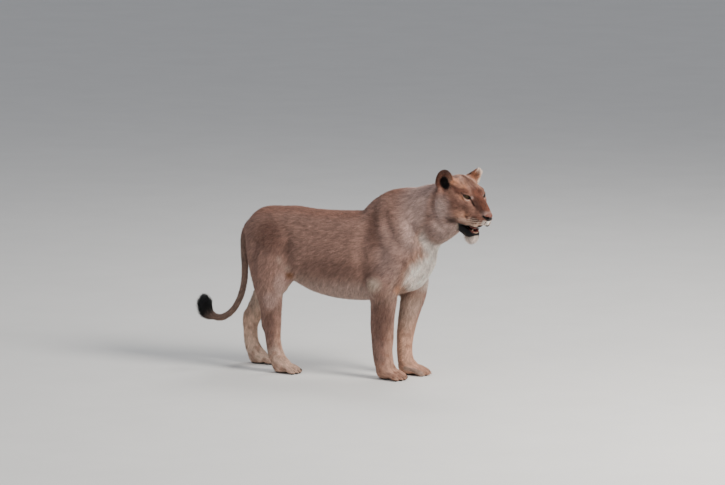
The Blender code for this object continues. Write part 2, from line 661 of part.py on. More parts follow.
def build():
    for ob in list(bpy.data.objects):
        bpy.data.objects.remove(ob)
    collection = bpy.data.collections.new("lioness")
    cutters = bpy.data.collections.new("cutters")
    for made in (collection, cutters):
        bpy.context.scene.collection.children.link(made)

    masses = [*trunk_masses(), *neck_masses(), *leg_masses(), *head_masses(), *tail_masses()]
    whole = thinned(surface("body", masses), BODY_TRIANGLES)
    bm = bmesh.new()
    bm.from_mesh(whole.data)
    bpy.data.objects.remove(whole)
    made = {}
    for name, piece in cut_body(bm).items():
        made[name] = flesh_object(name, piece, collection)
    bm.free()
    eyes(made["head"], cutters, collection)
    tongue(collection)


build()
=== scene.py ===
"""Looks of the standing lioness: one skin, a coat of solid tufts, eyes, mouth, claws and whiskers.

The masses of the body are given from a point on the floor between the fore paws, and the finished
pieces are moved to MIDDLE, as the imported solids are. Points and sizes of masses, creases, marks and
teeth are in millimetres, everything else is in metres.
"""
import bpy
import numpy as np
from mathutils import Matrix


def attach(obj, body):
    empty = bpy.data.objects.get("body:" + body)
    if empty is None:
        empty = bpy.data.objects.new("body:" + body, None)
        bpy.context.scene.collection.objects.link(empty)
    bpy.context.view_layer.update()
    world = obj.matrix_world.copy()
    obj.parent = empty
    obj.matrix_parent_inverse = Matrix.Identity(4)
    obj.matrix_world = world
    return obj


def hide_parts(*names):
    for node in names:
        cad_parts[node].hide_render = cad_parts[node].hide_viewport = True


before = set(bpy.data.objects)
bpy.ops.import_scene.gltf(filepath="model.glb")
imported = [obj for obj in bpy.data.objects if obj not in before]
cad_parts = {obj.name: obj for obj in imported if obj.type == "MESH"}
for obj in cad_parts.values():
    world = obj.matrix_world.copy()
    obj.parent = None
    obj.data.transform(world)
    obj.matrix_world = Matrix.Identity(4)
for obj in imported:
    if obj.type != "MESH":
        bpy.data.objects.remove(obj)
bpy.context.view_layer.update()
import openvdb
from mathutils import Matrix, Vector

VIEW_AZIMUTH, VIEW_ELEVATION, VIEW_DISTANCE = 21.0, 8.5, 26.0
PHOTO = (725, 485)  # pixels
PIXEL = 0.0053  # metres at the animal
FOOT_IN_PHOTO = (388, 374)  # where the fore foot stands, pixels
FLOOR_RADIUS = 110.0
CROWD = 0.83  # share of the full number of tufts
STREAKS = 0.38  # how strongly the coat's shade changes from lock to lock
LOCK = 0.0245  # tufts longer than this are bent in two
ROOT = 0.0007  # how deep a tuft stands in the skin

FAR = 0.25  # value of the field away from every mass
REACH = 0.02  # how far round a mass its field is worked out
SHELL = 0.03  # how near the surface the coat's depth is worked in
SOLE = 0.0008  # height of the pads' flats over the floor
SIDES = {"right": -1, "left": 1}
JAW_OPEN = 17.0  # degrees
EYE_RADIUS = 18.5  # mm
EYE_APART = 0.096  # between the eyeball centres
GAZE = 24.0  # degrees that each eye turns outward
LID_SLANT = 20.0  # degrees that the inner corner of the lids is lowered
MIDDLE = np.array((-0.26606, -0.00901, 0))
MM = 1000  # millimetres to a metre


# ---------------------------------------------------------------- directions and places
def unit(v):
    v = np.asarray(v, float)
    return v / np.linalg.norm(v)


def norms(rows):
    return np.linalg.norm(rows, axis=1)


def turned(yaw=0.0, pitch=0.0, roll=0.0):
    """Columns are the turned forward, left and up axes. Positive pitch lowers the nose."""
    y, p, r = np.radians((yaw, pitch, roll))
    about_z = np.array([[np.cos(y), -np.sin(y), 0], [np.sin(y), np.cos(y), 0], [0, 0, 1]])
    about_y = np.array([[np.cos(p), 0, np.sin(p)], [0, 1, 0], [-np.sin(p), 0, np.cos(p)]])
    about_x = np.array([[1, 0, 0], [0, np.cos(r), -np.sin(r)], [0, np.sin(r), np.cos(r)]])
    return about_z @ about_y @ about_x


class Place:
    """A local frame: masses given in it are put where its origin and axes say."""

    def __init__(self, origin=(0, 0, 0), axes=None, parent=None):
        self.origin = np.asarray(origin, float)
        self.axes = np.eye(3) if axes is None else np.asarray(axes, float)
        if parent is not None:
            self.origin = parent.point(origin)
            self.axes = parent.axes @ self.axes

    def point(self, p):
        return self.origin + self.axes @ np.asarray(p, float)

    def vector(self, v):
        return self.axes @ np.asarray(v, float)

    def matrix(self):
        m = Matrix(self.axes.tolist()).to_4x4()
        m.translation = Vector(self.origin)
        return m


WORLD = Place()
# Head frame: origin midway between the eyes, +X to the nose, +Z to the crown.
HEAD = Place((0.4846, -0.115, 1.013), turned(yaw=-34, pitch=9.5))
# Jaw frame: origin on the jaw's hinge, turned open with the jaw.
JAW = Place((-0.115, 0, -0.045), turned(pitch=JAW_OPEN), parent=HEAD)


# ---------------------------------------------------------------- masses as distance fields
def smooth_min(a, b, blend):
    h = np.maximum(blend - np.abs(a - b), 0.0) / blend
    return np.minimum(a, b) - h * h * blend * 0.25


def eased(stations, steps):
    """Catmull-Rom through the stations, each a row of numbers, with steps points to a span."""
    s = np.asarray(stations, float)
    s = np.vstack([2 * s[0] - s[1], s, 2 * s[-1] - s[-2]])
    rows = []
    for a, b, c, d in zip(s[:-3], s[1:-2], s[2:-1], s[3:]):
        for t in np.linspace(0, 1, steps, endpoint=False):
            rows.append(0.5 * (2 * b + (c - a) * t + (2 * a - 5 * b + 4 * c - d) * t * t
                               + (3 * b - a - 3 * c + d) * t ** 3))
    rows.append(s[-2])
    return np.array(rows)


def mass(low, high, distance, blend, carve=False):
    return {"low": low, "high": high, "distance": distance, "blend": blend, "carve": carve}


def ball(centre, radii, blend=30, place=WORLD, carve=False):
    """An ellipsoid, in mm. carve takes it away from what came before."""
    c = place.point(np.asarray(centre) / MM)
    r = np.broadcast_to(np.asarray(radii, float) / MM, 3)
    reach = np.sqrt(((place.axes * r) ** 2).sum(axis=1))

    def distance(p):
        q = (p - c) @ place.axes
        near = np.sqrt(((q / r) ** 2).sum(axis=1))
        steep = np.sqrt(((q / (r * r)) ** 2).sum(axis=1))
        return near * (near - 1) / np.maximum(steep, 1e-9)

    return mass(c - reach, c + reach, distance, blend / MM, carve)


def tube(stations, blend=20, place=WORLD, carve=False, steps=4):
    """A limb through stations (x, y, z, radius fore and aft, radius to the side), in mm."""
    rows = eased(np.asarray(stations, float) / MM, steps)
    points = np.array([place.point(p) for p in rows[:, :3]])
    deep = np.maximum(rows[:, 3], 1e-4)
    wide = np.maximum(rows[:, 4], 1e-4)
    side = place.vector((0, 1, 0))
    big = np.maximum(deep, wide)

    def span(p, a, b, r0, r1, w0, w1):
        length = np.linalg.norm(b - a)
        along = (b - a) / length
        s = unit(side - along * (side @ along))
        q = p - a
        t = q @ along
        h = np.clip(t / length, 0, 1)
        r = r0 + (r1 - r0) * h
        w = w0 + (w1 - w0) * h
        over = t - h * length
        qu = q @ np.cross(along, s)
        qs = q @ s
        local = np.sqrt((qu / r) ** 2 + (qs / w) ** 2 + over * over / (r * w))
        size = np.sqrt(qu * qu + qs * qs + over * over)
        return np.where(local > 1e-6, size * (1 - 1 / np.maximum(local, 1e-6)), -r)

    def distance(p):
        best = np.full(len(p), FAR)
        for i in range(len(points) - 1):
            a, b = points[i], points[i + 1]
            reach = max(big[i], big[i + 1]) + blend / MM + REACH
            inside = (p > np.minimum(a, b) - reach) & (p < np.maximum(a, b) + reach)
            near = np.flatnonzero(inside.all(axis=1))
            if len(near):
                d = span(p[near], a, b, deep[i], deep[i + 1], wide[i], wide[i + 1])
                best[near] = np.minimum(best[near], d)
        return best

    return mass((points - big[:, None]).min(axis=0), (points + big[:, None]).max(axis=0), distance,
                blend / MM, carve)


def barrel(stations, blend=30, boxy=2.2, round_ends=120):
    """The trunk: stations (x, top, bottom, half width) along +X in mm, with egg-shaped sections."""
    rows = eased(np.asarray(stations, float) / MM, 6)
    low = np.array([rows[0, 0], -rows[:, 3].max(), rows[:, 2].min()])
    high = np.array([rows[-1, 0], rows[:, 3].max(), rows[:, 1].max()])

    def distance(p):
        top, bottom, wide = (np.interp(p[:, 0], rows[:, 0], rows[:, k]) for k in (1, 2, 3))
        widest = bottom + 0.46 * (top - bottom)
        up = p[:, 2] - widest
        tall = np.where(up > 0, top - widest, widest - bottom)
        q = ((np.abs(p[:, 1]) / wide) ** boxy + (np.abs(up) / tall) ** boxy) ** (1 / boxy)
        d = np.hypot(p[:, 1], up) * (1 - 1 / np.maximum(q, 1e-3))
        ends = np.maximum(rows[0, 0] - p[:, 0], p[:, 0] - rows[-1, 0])
        return -smooth_min(-d, -ends, round_ends / MM)

    return mass(low, high, distance, blend / MM)


# ---------------------------------------------------------------- trunk and neck
def trunk_masses():
    yield barrel([(-850, 770, 650, 55), (-790, 830, 580, 100), (-700, 872, 530, 125), (-580, 888, 488, 136),
                  (-460, 878, 434, 148), (-330, 876, 406, 160), (-200, 882, 400, 166), (-80, 898, 414, 160),
                  (40, 900, 448, 138), (130, 860, 505, 108), (200, 800, 570, 65)])
    yield ball((85, 0, 640), (118, 112, 165), blend=50)  # brisket
    yield ball((-720, 0, 765), (115, 112, 105), blend=50)  # croup
    yield tube([(-100, 0, 870, 50, 40), (-20, 0, 930, 55, 45), (60, 0, 930, 60, 50)], blend=50)  # withers


def neck_masses():
    yield tube([(-60, 0, 860, 95, 80), (60, -2, 868, 140, 108), (150, -12, 868, 158, 112),
                (230, -32, 892, 157, 108), (300, -58, 930, 138, 97), (360, -85, 965, 112, 88)], blend=60)
    yield tube([(150, 0, 650, 60, 85), (185, -12, 750, 60, 80), (255, -38, 836, 56, 70),
                (330, -70, 870, 50, 62)], blend=60)  # throat


# ---------------------------------------------------------------- legs and paws
FORE_LEG = {
    "right": [(-22, -122, 500, 80, 58), (-26, -114, 430, 76, 57),
              (-33, -107, 360, 69, 55), (-38, -103, 290, 66, 53),
              (-37, -101, 220, 62, 51), (-38, -100, 155, 56, 50),
              (-31, -100, 100, 54, 49), (-20, -100, 58, 49, 47)],
    "left": [(62, 122, 500, 78, 56), (60, 105, 430, 72, 55),
             (48, 94, 360, 62, 52), (35, 86, 290, 54, 49),
             (25, 81, 220, 48, 47), (21, 78, 155, 43, 45),
             (23, 78, 100, 43, 45), (32, 78, 58, 43, 44)]}
HIND_LEG = {"right": [(-705, -80, 760, 120, 55), (-690, -105, 650, 122, 68), (-680, -120, 550, 106, 68),
                      (-678, -122, 480, 90, 60), (-672, -120, 405, 73, 50), (-666, -118, 335, 61, 44),
                      (-662, -116, 265, 52, 41), (-657, -115, 180, 43, 39), (-648, -115, 125, 43, 40),
                      (-634, -115, 82, 45, 42), (-612, -115, 48, 42, 42)],
            "left": [(-715, 80, 760, 118, 55), (-710, 103, 650, 118, 66), (-728, 115, 550, 98, 62),
                     (-760, 117, 465, 74, 54), (-798, 117, 400, 59, 46), (-828, 116, 340, 53, 42),
                     (-856, 115, 280, 50, 41), (-879, 115, 214, 42, 39), (-881, 115, 160, 40, 39),
                     (-875, 115, 110, 41, 39), (-860, 115, 74, 43, 41), (-842, 115, 46, 41, 41)]}
HOCK = {"right": (-700, -117, 270), "left": (-902, 116, 245)}
FLANK_FOLD = {"right": [(-530, -105, 590, 50, 22), (-572, -115, 530, 45, 22), (-600, -120, 480, 35, 20)],
              "left": [(-560, 105, 610, 50, 22), (-610, 112, 570, 45, 22), (-655, 116, 530, 35, 20)]}
FORE_PAW = {"right": Place((0.000, -0.100, 0), turned(yaw=-14)),
            "left": Place((0.062, 0.078, 0), turned(yaw=-2))}
HIND_PAW = {"right": Place((-0.590, -0.115, 0), turned(yaw=-6)),
            "left": Place((-0.822, 0.115, 0), turned(yaw=4))}
HIND_PAW_SIZE = 0.92  # against a fore paw
TOES = ((-39, -12), (-13.5, 0), (13.5, 0), (39, -12))  # across and ahead, mm
PAWS = [(FORE_PAW["right"], 1.0), (FORE_PAW["left"], 1.0), (HIND_PAW["right"], HIND_PAW_SIZE),
        (HIND_PAW["left"], HIND_PAW_SIZE)]


def shoulder_masses(s):
    yield tube([(-35, s * 48, 930, 35, 28), (-5, s * 75, 880, 60, 38), (35, s * 104, 790, 82, 48),
                (80, s * 120, 700, 85, 50), (95, s * 124, 640, 80, 50)], blend=45)  # shoulder blade
    yield tube([(92, s * 124, 650, 78, 50), (45, s * 130, 580, 88, 56), (-15, s * 130, 520, 80, 58),
                (-35, s * 128, 480, 70, 54)], blend=50)  # upper arm
    yield ball((-74, s * 128, 504), (36, 30, 40), blend=40)  # point of elbow


def paw_masses(place, k=1.0):
    """A paw k times the size of a fore paw: heel at -X, four toes at +X, sole on the floor."""
    yield ball((-10 * k, 0, 34 * k), (56 * k, 50 * k, 36 * k), place=place)
    yield ball((-12 * k, 0, 10 * k), (44 * k, 38 * k, 22 * k), blend=12, place=place)
    for across, ahead in TOES:
        x, y = ahead * k, across * k
        yield tube([(16 * k + x, y * 0.85, 38 * k, 18 * k, 16.5 * k),
                    (46 * k + x, y, 31 * k, 18.5 * k, 16.5 * k),
                    (72 * k + x, y * 1.06, 19 * k, 18 * k, 16 * k),
                    (86 * k + x, y * 1.10, 11 * k, 15.5 * k, 14 * k)], blend=10, place=place, steps=3)


def leg_masses():
    for name, s in SIDES.items():
        yield from shoulder_masses(s)
        yield tube(FORE_LEG[name], blend=35)
        yield from paw_masses(FORE_PAW[name])
        yield tube(HIND_LEG[name], blend=45)
        yield ball(HOCK[name], (18, 20, 40))
        yield from paw_masses(HIND_PAW[name], HIND_PAW_SIZE)
        yield tube(FLANK_FOLD[name], blend=50)


# ---------------------------------------------------------------- tail
TAIL = [(-765, 0, 805, 40, 40), (-820, 0, 775, 36, 36), (-858, 0, 720, 30, 30), (-868, 0, 640, 25, 25),
        (-866, 0, 551, 22, 22), (-869, 0, 470, 21, 21), (-884, 0, 400, 20.5, 20.5), (-910, 0, 340, 20, 20),
        (-948, 0, 290, 19.5, 19.5), (-1004, 0, 257, 20, 20), (-1058, 0, 265, 23.5, 23.5)]
TAIL_PATH = np.array([t[:3] for t in TAIL] + [(-1092, 0, 292), (-1102, 0, 345)]) / MM
TAIL_SHARE = np.linspace(0, 1, len(TAIL_PATH))
TAIL_WAY = np.diff(TAIL_PATH, axis=0)[[*range(len(TAIL_PATH) - 1), -1]]
TAIL_WAY /= norms(TAIL_WAY)[:, None]


# ---------------------------------------------------------------- head
# By side, -1 right and 1 left: where the ear stands in the head frame, and its size.
EAR_ROOT = {-1: (-0.134, 0.109, 0.046), 1: (-0.132, 0.102, 0.042)}
EAR_SIZE = {-1: 0.97, 1: 0.88}


def ear_place(s):
    """Ear frame: +X out of the opening, +Z to the ear's tip."""
    ahead, out_from, high = EAR_ROOT[s]
    opening = np.radians(38)
    up = unit((0.10, s * 0.14, 0.98))
    out = np.array((np.cos(opening), s * np.sin(opening), 0.0))
    out = unit(out - up * (out @ up))
    return Place((ahead, s * out_from, high), np.column_stack((out, np.cross(up, out), up)), parent=HEAD)


def ear_masses():
    for s in SIDES.values():
        ear = ear_place(s)
        k = EAR_SIZE[s]
        yield ball((-6 * k, 0, 0), np.array((32, 45, 63)) * k, blend=22, place=ear)
        yield ball((-28, 0, -22), (36, 36, 42), place=ear)
        yield ball((22 * k, -s * 3, -10 * k), np.array((36, 34, 47)) * k, blend=10, place=ear, carve=True)
        yield ball((0, -s * 4, -16), (22, 18, 26), blend=10, place=ear, carve=True)


def eye_place(s):
    return Place((-0.009, s * EYE_APART / 2, -0.005), turned(yaw=s * GAZE), parent=HEAD)


def skull_masses():
    yield ball((-118, 0, -14), (116, 84, 87), blend=40, place=HEAD)  # cranium
    yield ball((-50, 0, 6), (80, 60, 42), place=HEAD)  # forehead
    yield tube([(-15, 0, -6, 38, 34), (55, 0, -30, 36, 28), (108, 0, -68, 34, 27), (127, 0, -86, 26, 25)],
               place=HEAD)  # bridge
    yield ball((130, 0, -79), (24, 25, 21), blend=12, place=HEAD)  # nose


def face_masses(s):
    yield tube([(8, s * 30, 8, 15, 13), (-10, s * 50, 14, 15, 13), (-45, s * 68, 6, 16, 14)], blend=25,
               place=HEAD)  # brow
    yield tube([(-20, s * 40, -62, 42, 28), (38, s * 26, -90, 38, 23), (84, s * 22, -104, 38, 25)], blend=22,
               place=HEAD)  # upper jaw
    yield ball((80, s * 25, -113), (46, 31, 40), blend=16, place=HEAD)  # whisker pad
    yield tube([(78, s * 39, -132, 20, 16), (30, s * 52, -137, 22, 15), (-15, s * 66, -138, 24, 16)],
               blend=16, place=HEAD)  # side of the lip
    yield tube([(6, s * 54, -40, 18, 16), (-45, s * 80, -38, 22, 18), (-105, s * 86, -22, 22, 18)], blend=30,
               place=HEAD)  # cheek bone
    yield ball((-72, s * 66, -82), (68, 44, 70), blend=35, place=HEAD)  # cheek
    yield ball((-138, s * 74, -90), (62, 56, 90), blend=35, place=HEAD)  # ruff
    yield ball((0, 0, 0), EYE_RADIUS + 4, blend=12, place=eye_place(s))  # lids


def jaw_masses():
    """Points are from the hinge, in the jaw's own frame."""
    for s in SIDES.values():
        yield tube([(20, s * 58, -85, 36, 26), (90, s * 45, -108, 28, 22), (150, s * 27, -114, 25, 19),
                    (178, s * 14, -113, 24, 18)], place=JAW)
    yield ball((180, 0, -117), (26, 28, 26), blend=20, place=JAW)  # chin
    yield ball((165, 0, -143), (46, 27, 34), blend=20, place=JAW)  # its tuft
    yield ball((105, 0, -118), (85, 44, 22), blend=20, place=JAW)  # mouth floor


def mouth_masses():
    """The open mouth, carved between the jaws, and the lower canines that stand in it."""
    yield tube([(-40, 0, -150, 4, 70), (-5, 0, -156, 8, 64), (45, 0, -168, 15, 54), (110, 0, -180, 24, 52)],
               blend=6, place=HEAD, carve=True)
    yield ball((45, 0, -150), (68, 32, 24), blend=8, place=HEAD, carve=True)
    yield ball((125, 0, -86), (62, 25, 20), blend=8, place=JAW, carve=True)
    for s in SIDES.values():
        yield tube([(182, s * 16.5, -100, 6.5, 6), (186, s * 17, -84, 5.5, 5), (191, s * 18, -68, 2.5, 2.5)],
                   blend=3, place=JAW)


def head_masses():
    yield from jaw_masses()
    yield from skull_masses()
    for s in SIDES.values():
        yield from face_masses(s)
    yield from mouth_masses()
    yield from ear_masses()


# ---------------------------------------------------------------- helpers for masks
def mix(a, b, t):
    return a + (b - a) * t


def soft(x, start, end):
    """0 before start, 1 past end, eased between. start may be the larger."""
    t = np.clip((x - start) / (end - start), 0, 1)
    return t * t * (3 - 2 * t)


def local(p, place):
    return (p - place.origin) @ place.axes


def noise(p, size, seed=0):
    """Smooth random values from -1 to 1 that change over about size metres."""
    q = p / size + 13.7 * (seed + 1)
    cell = np.floor(q).astype(np.int64)
    f = q - cell
    f = f * f * (3 - 2 * f)
    total = np.zeros(len(p))
    for corner in np.ndindex(2, 2, 2):
        c = (cell + corner).astype(np.uint64)
        h = c[:, 0] * np.uint64(73856093) ^ c[:, 1] * np.uint64(19349663) ^ c[:, 2] * np.uint64(83492791)
        h = (h + np.uint64(seed * 7919)) & np.uint64(0xFFFFFFFF)
        h = (h * np.uint64(2246822519)) & np.uint64(0xFFFFFFFF)
        h ^= h >> np.uint64(15)
        h = (h * np.uint64(3266489917)) & np.uint64(0xFFFFFFFF)
        h ^= h >> np.uint64(13)
        weight = np.prod(np.where(np.array(corner), f, 1 - f), axis=1)
        total += weight * (h.astype(float) / 2 ** 31 - 1)
    return total


def to_path(p, stations):
    """Distance to a line through stations, and how far along it, 0 to 1, the nearest point is."""
    stations = np.asarray(stations, float)
    best = np.full(len(p), 9.0)
    where = np.zeros(len(p))
    spans = len(stations) - 1
    for i in range(spans):
        a, b = stations[i], stations[i + 1]
        t = np.clip((p - a) @ (b - a) / ((b - a) @ (b - a)), 0, 1)
        d = norms(p - a - t[:, None] * (b - a))
        nearer = d < best
        best = np.where(nearer, d, best)
        where = np.where(nearer, (i + t) / spans, where)
    return best, where


# ---------------------------------------------------------------- the skin's field
def body_masses():
    return [*trunk_masses(), *neck_masses(), *leg_masses(), *head_masses(), *skin_tail_masses()]


def skin_tail_masses():
    """The tail as in the solids, with a thin core inside the tuft's hair."""
    end = [(-1058, 0, 266, 20.5, 20.5), (-1086, 0, 287, 23, 23), (-1098, 0, 314, 24, 24),
           (-1101, 0, 334, 16, 16)]
    yield tube(TAIL[:-1] + end, blend=12, steps=3)


def field_at(p, masses, values=None):
    values = np.full(len(p), FAR) if values is None else values
    for m in masses:
        margin = REACH + m["blend"]
        i = np.flatnonzero(((p > m["low"] - margin) & (p < m["high"] + margin)).all(axis=1))
        if len(i):
            d = m["distance"](p[i])
            if m["carve"]:
                values[i] = -smooth_min(-values[i], d, m["blend"])
            else:
                values[i] = smooth_min(values[i], d, m["blend"])
    return values


def field_on_grid(axes, masses, values=None):
    if values is None:
        values = np.full([len(a) for a in axes], FAR, np.float32)
    for m in masses:
        margin = REACH + m["blend"]
        cut = tuple(slice(np.searchsorted(a, m["low"][k] - margin), np.searchsorted(a, m["high"][k] + margin))
                    for k, a in enumerate(axes))
        grid = np.meshgrid(*[a[c] for a, c in zip(axes, cut)], indexing="ij")
        points = np.stack([g.ravel() for g in grid], axis=1)
        d = m["distance"](points).astype(np.float32).reshape(grid[0].shape)
        if m["carve"]:
            values[cut] = -smooth_min(-values[cut], d, m["blend"])
        else:
            values[cut] = smooth_min(values[cut], d, m["blend"])
    return values


def mirrored(p):
    return np.column_stack((p[:, 0], np.abs(p[:, 1]), p[:, 2]))


def patch(p, centre, radii, edge=0.45):
    """1 inside an ellipsoid in mm, fading over its edge. p and centre are in one frame, mirrored in y."""
    away = (mirrored(p) - np.asarray(centre) / MM) / (np.asarray(radii) / MM)
    return soft(norms(away), 1 + edge, 1 - edge)


def stripe_at(p, stations, width, edge=0.5):
    """1 within width of a line through stations, in mm, fading over its edge."""
    return soft(to_path(p, np.asarray(stations) / MM)[0] / (width / MM), 1 + edge, 1 - edge)


def stripe(p, stations, width, edge=0.5):
    return stripe_at(mirrored(p), stations, width, edge)


def coat_depth(p):
    """How far the skin lies inside the tips of the coat."""
    h = local(p, HEAD)
    hx, _, hz = h.T
    on_head = soft(hx, -0.25, -0.13) * soft(hz, -0.40, -0.25)
    depth = mix(mix(0.0065, 0.0035, on_head), 0.0018, on_head * soft(hx, -0.07, 0.01))
    for s in SIDES.values():
        depth = mix(depth, 0.0010, soft(norms(local(p, eye_place(s))), 0.035, 0.022))
        depth = mix(depth, 0.0010, soft(norms(local(p, ear_place(s))), 0.085, 0.055))
    ruff = patch(h, (-125, 135, -115), (50, 60, 85), 0.5) * soft(hx, -0.25, -0.2)
    depth = mix(depth, 0.0075, ruff)
    depth = mix(depth, 0.0120, patch(local(p, JAW), (165, 0, -165), (60, 40, 30), 0.4))  # chin
    depth = mix(depth, 0.0040, soft(p[:, 2], 0.40, 0.20))
    return mix(depth, 0.0022, soft(p[:, 2], 0.10, 0.06))


def lean(p, masses):
    """The way out of the body at each point."""
    e = 0.001
    g = np.stack([field_at(p + d, masses) - field_at(p - d, masses) for d in np.eye(3) * e], axis=1)
    return g / np.maximum(norms(g)[:, None], 1e-9)


def crease(stations, width, deep, place=WORLD, both_sides=True):
    """A furrow that follows the surface near the stations (x, y, z), in mm; y is to the left."""
    made = []
    for s in ((1, -1) if both_sides else (1,)):
        rows = eased(np.array([(x, s * y, z) for x, y, z in stations]) / MM, 4)
        p = np.array([place.point(r) for r in rows])
        for _ in range(4):
            p = p - lean(p, BODY) * (field_at(p, BODY) + coat_depth(p))[:, None]
        p = p + lean(p, BODY) * ((width - deep) / MM)
        taper = width * (0.35 + 0.65 * np.sin(np.linspace(0.12, 0.88, len(p)) * np.pi))
        made.append(tube([(*q, t, t) for q, t in zip(p * MM, taper)], blend=width * 1.6, carve=True, steps=1))
    return made


def slit_place(s):
    return Place((0.022, 0, 0), turned(roll=s * LID_SLANT), parent=eye_place(s))


# Furrows of the head and of the body on both sides: stations, width and depth.
HEAD_CREASES = (
    ([(118, 26, -70), (85, 37, -76), (56, 45, -73)], 6, 1.8),  # beside the nose
    ([(112, 30, -82), (90, 40, -87), (66, 48, -89)], 5, 1.2),
    ([(16, 44, -24), (34, 36, -34), (66, 28, -48)], 5, 2),  # tear line
    ([(-24, 74, 14), (-8, 66, 17), (10, 50, 10)], 3.5, 1.8),  # over the lid
    ([(-20, 72, -26), (-2, 66, -33), (20, 50, -40)], 4, 1.2),  # under the eye
    ([(-165, 130, 0), (-160, 145, -50), (-146, 150, -105), (-118, 135, -160), (-90, 100, -205)],
     16, 7.5),  # behind the ruff
    ([(-10, 72, -140), (-32, 80, -128), (-50, 92, -105)], 8, 3),  # mouth corner
    ([(106, 49, -106), (90, 54, -114), (74, 58, -121)], 6, 1))  # whisker rows
BODY_CREASES = (
    ([(-118, 150, 830), (-135, 160, 710), (-130, 160, 580)], 30, 6),  # behind the shoulder
    ([(-118, 148, 550), (-90, 150, 470), (-60, 150, 445)], 14, 6),  # behind the elbow
    ([(110, 150, 630), (75, 165, 550), (40, 165, 490)], 14, 5),  # before the elbow
    ([(-20, 150, 890), (40, 165, 770), (120, 150, 690)], 26, 5),  # before the shoulder blade
    ([(-560, 150, 730), (-575, 160, 630), (-560, 150, 550)], 30, 6),  # before the thigh
    ([(-735, 150, 690), (-745, 150, 590), (-735, 150, 500)], 20, 5))  # back of the thigh


def skin_details():
    """Folds, furrows, lids and nostrils, worked into the skin itself."""
    for s in SIDES.values():
        yield ball((0, 0, 0), EYE_RADIUS + 3.6, blend=6, place=eye_place(s))  # lids
        yield ball((0, 0, 0), (20, 18.5, 8.8), blend=1.8, place=slit_place(s), carve=True)
        yield ball((141, s * 12.5, -82.5), (16, 6.2, 5.5), blend=3, place=HEAD, carve=True)  # nostril
        yield tube([(150, s * 16, -87, 5, 5), (138, s * 24.5, -84, 4.5, 4.5), (128, s * 30, -79, 3, 3)],
                   blend=4, place=HEAD, carve=True)
    yield from crease([(-100, 0, 66), (-50, 0, 58), (5, 0, 34), (50, 0, 6)], 10, 2.2, HEAD, False)  # forehead
    for s in SIDES.values():
        yield ball((43.4, s * 47.5, -117), (17, 12.5, 14), blend=10, place=HEAD)  # behind the pad
        yield ball((153, s * 68, -134), (60, 60, 36), blend=10, place=HEAD, carve=True)  # below the nose
    yield ball((202, 0, -152), (70, 70, 46), blend=10, place=HEAD, carve=True)
    yield from crease([(155, 0, -93), (146, 0, -112), (134, 0, -140)], 4.5, 3, HEAD, False)  # split lip
    for stations, width, deep in HEAD_CREASES:
        yield from crease(stations, width, deep, HEAD)
    for stations, width, deep in BODY_CREASES:
        yield from crease(stations, width, deep)
    for place, k in PAWS:
        for across in (-27, 0, 27):  # between the toes
            stations = [(24 * k, across * 0.9 * k, 60 * k), (78 * k, across * k, 40 * k),
                        (92 * k, across * 1.08 * k, 12 * k)]
            yield from crease(stations, 4 * k, 3 * k, place, False)


def graded(spans, end):
    """Grid lines from spans of (start, step) up to end."""
    lines = []
    for (start, step), (stop, _) in zip(spans, spans[1:] + [(end, 0)]):
        count = int(round((stop - start) / step))
        lines.extend(np.linspace(start, stop, count, endpoint=False))
    return np.array(lines + [end])


def skin_surface():
    """Points and triangles, finest on the head and the paws."""
    axes = [graded([(-1.15, 0.0096), (0.24, 0.0043)], 0.64),
            graded([(-0.235, 0.0047), (0.08, 0.0075)], 0.205),
            graded([(-0.02, 0.0052), (0.09, 0.0098), (0.79, 0.0044)], 1.155)]
    values = field_on_grid(axes, BODY)
    grid = np.meshgrid(*axes, indexing="ij")
    near = np.flatnonzero(np.abs(values.ravel()) < SHELL)
    points = np.stack([g.ravel()[near] for g in grid], axis=1)
    flat = values.ravel()
    flat[near] += coat_depth(points).astype(np.float32)
    values = field_on_grid(axes, DETAILS, flat.reshape(values.shape))
    volume = openvdb.FloatGrid(FAR)
    volume.copyFromArray(values)
    points, quads = volume.convertToQuads(0.0)
    points = np.stack([np.interp(points[:, k], np.arange(len(a)), a) for k, a in enumerate(axes)], axis=1)
    tris = np.concatenate((quads[:, (0, 1, 2)], quads[:, (0, 2, 3)]))
    return points, outermost(points, tris.astype(np.int64))


def outermost(points, tris):
    """The triangles of the largest closed body only."""
    label = np.arange(len(points))
    for _ in range(400):
        low = label[tris].min(axis=1)
        before = label.copy()
        for k in range(3):
            np.minimum.at(label, tris[:, k], low)
        label = label[label]
        if (label == before).all():
            break
    names, counts = np.unique(label[tris[:, 0]], return_counts=True)
    return tris[label[tris[:, 0]] == names[counts.argmax()]]


def wanted_edge(p):
    """How long an edge of the skin may be at each point."""
    h = local(p, HEAD)
    hx, hy, hz = h.T
    size = np.full(len(p), 1.0)
    size = np.where(hx > -0.06, 0.0070, size)
    mouth = (hx > -0.03) & (hz < -0.10) & (np.abs(hy) < 0.075)
    size = np.where(mouth, 0.0048, size)
    nose = norms(h - (0.147, 0, -0.089)) < 0.040
    size = np.where(nose, 0.0026, size)
    for s in SIDES.values():
        e = local(p, eye_place(s))
        size = np.where(norms(e - (0.012, 0, 0)) < 0.028, 0.0019, size)
        ear = local(p, ear_place(s))
        size = np.where((norms(ear) < 0.075) & (hz > 0.05), 0.0060, size)
    size = np.where(p[:, 2] < 0.06, np.minimum(size, 0.0075), size)
    return size


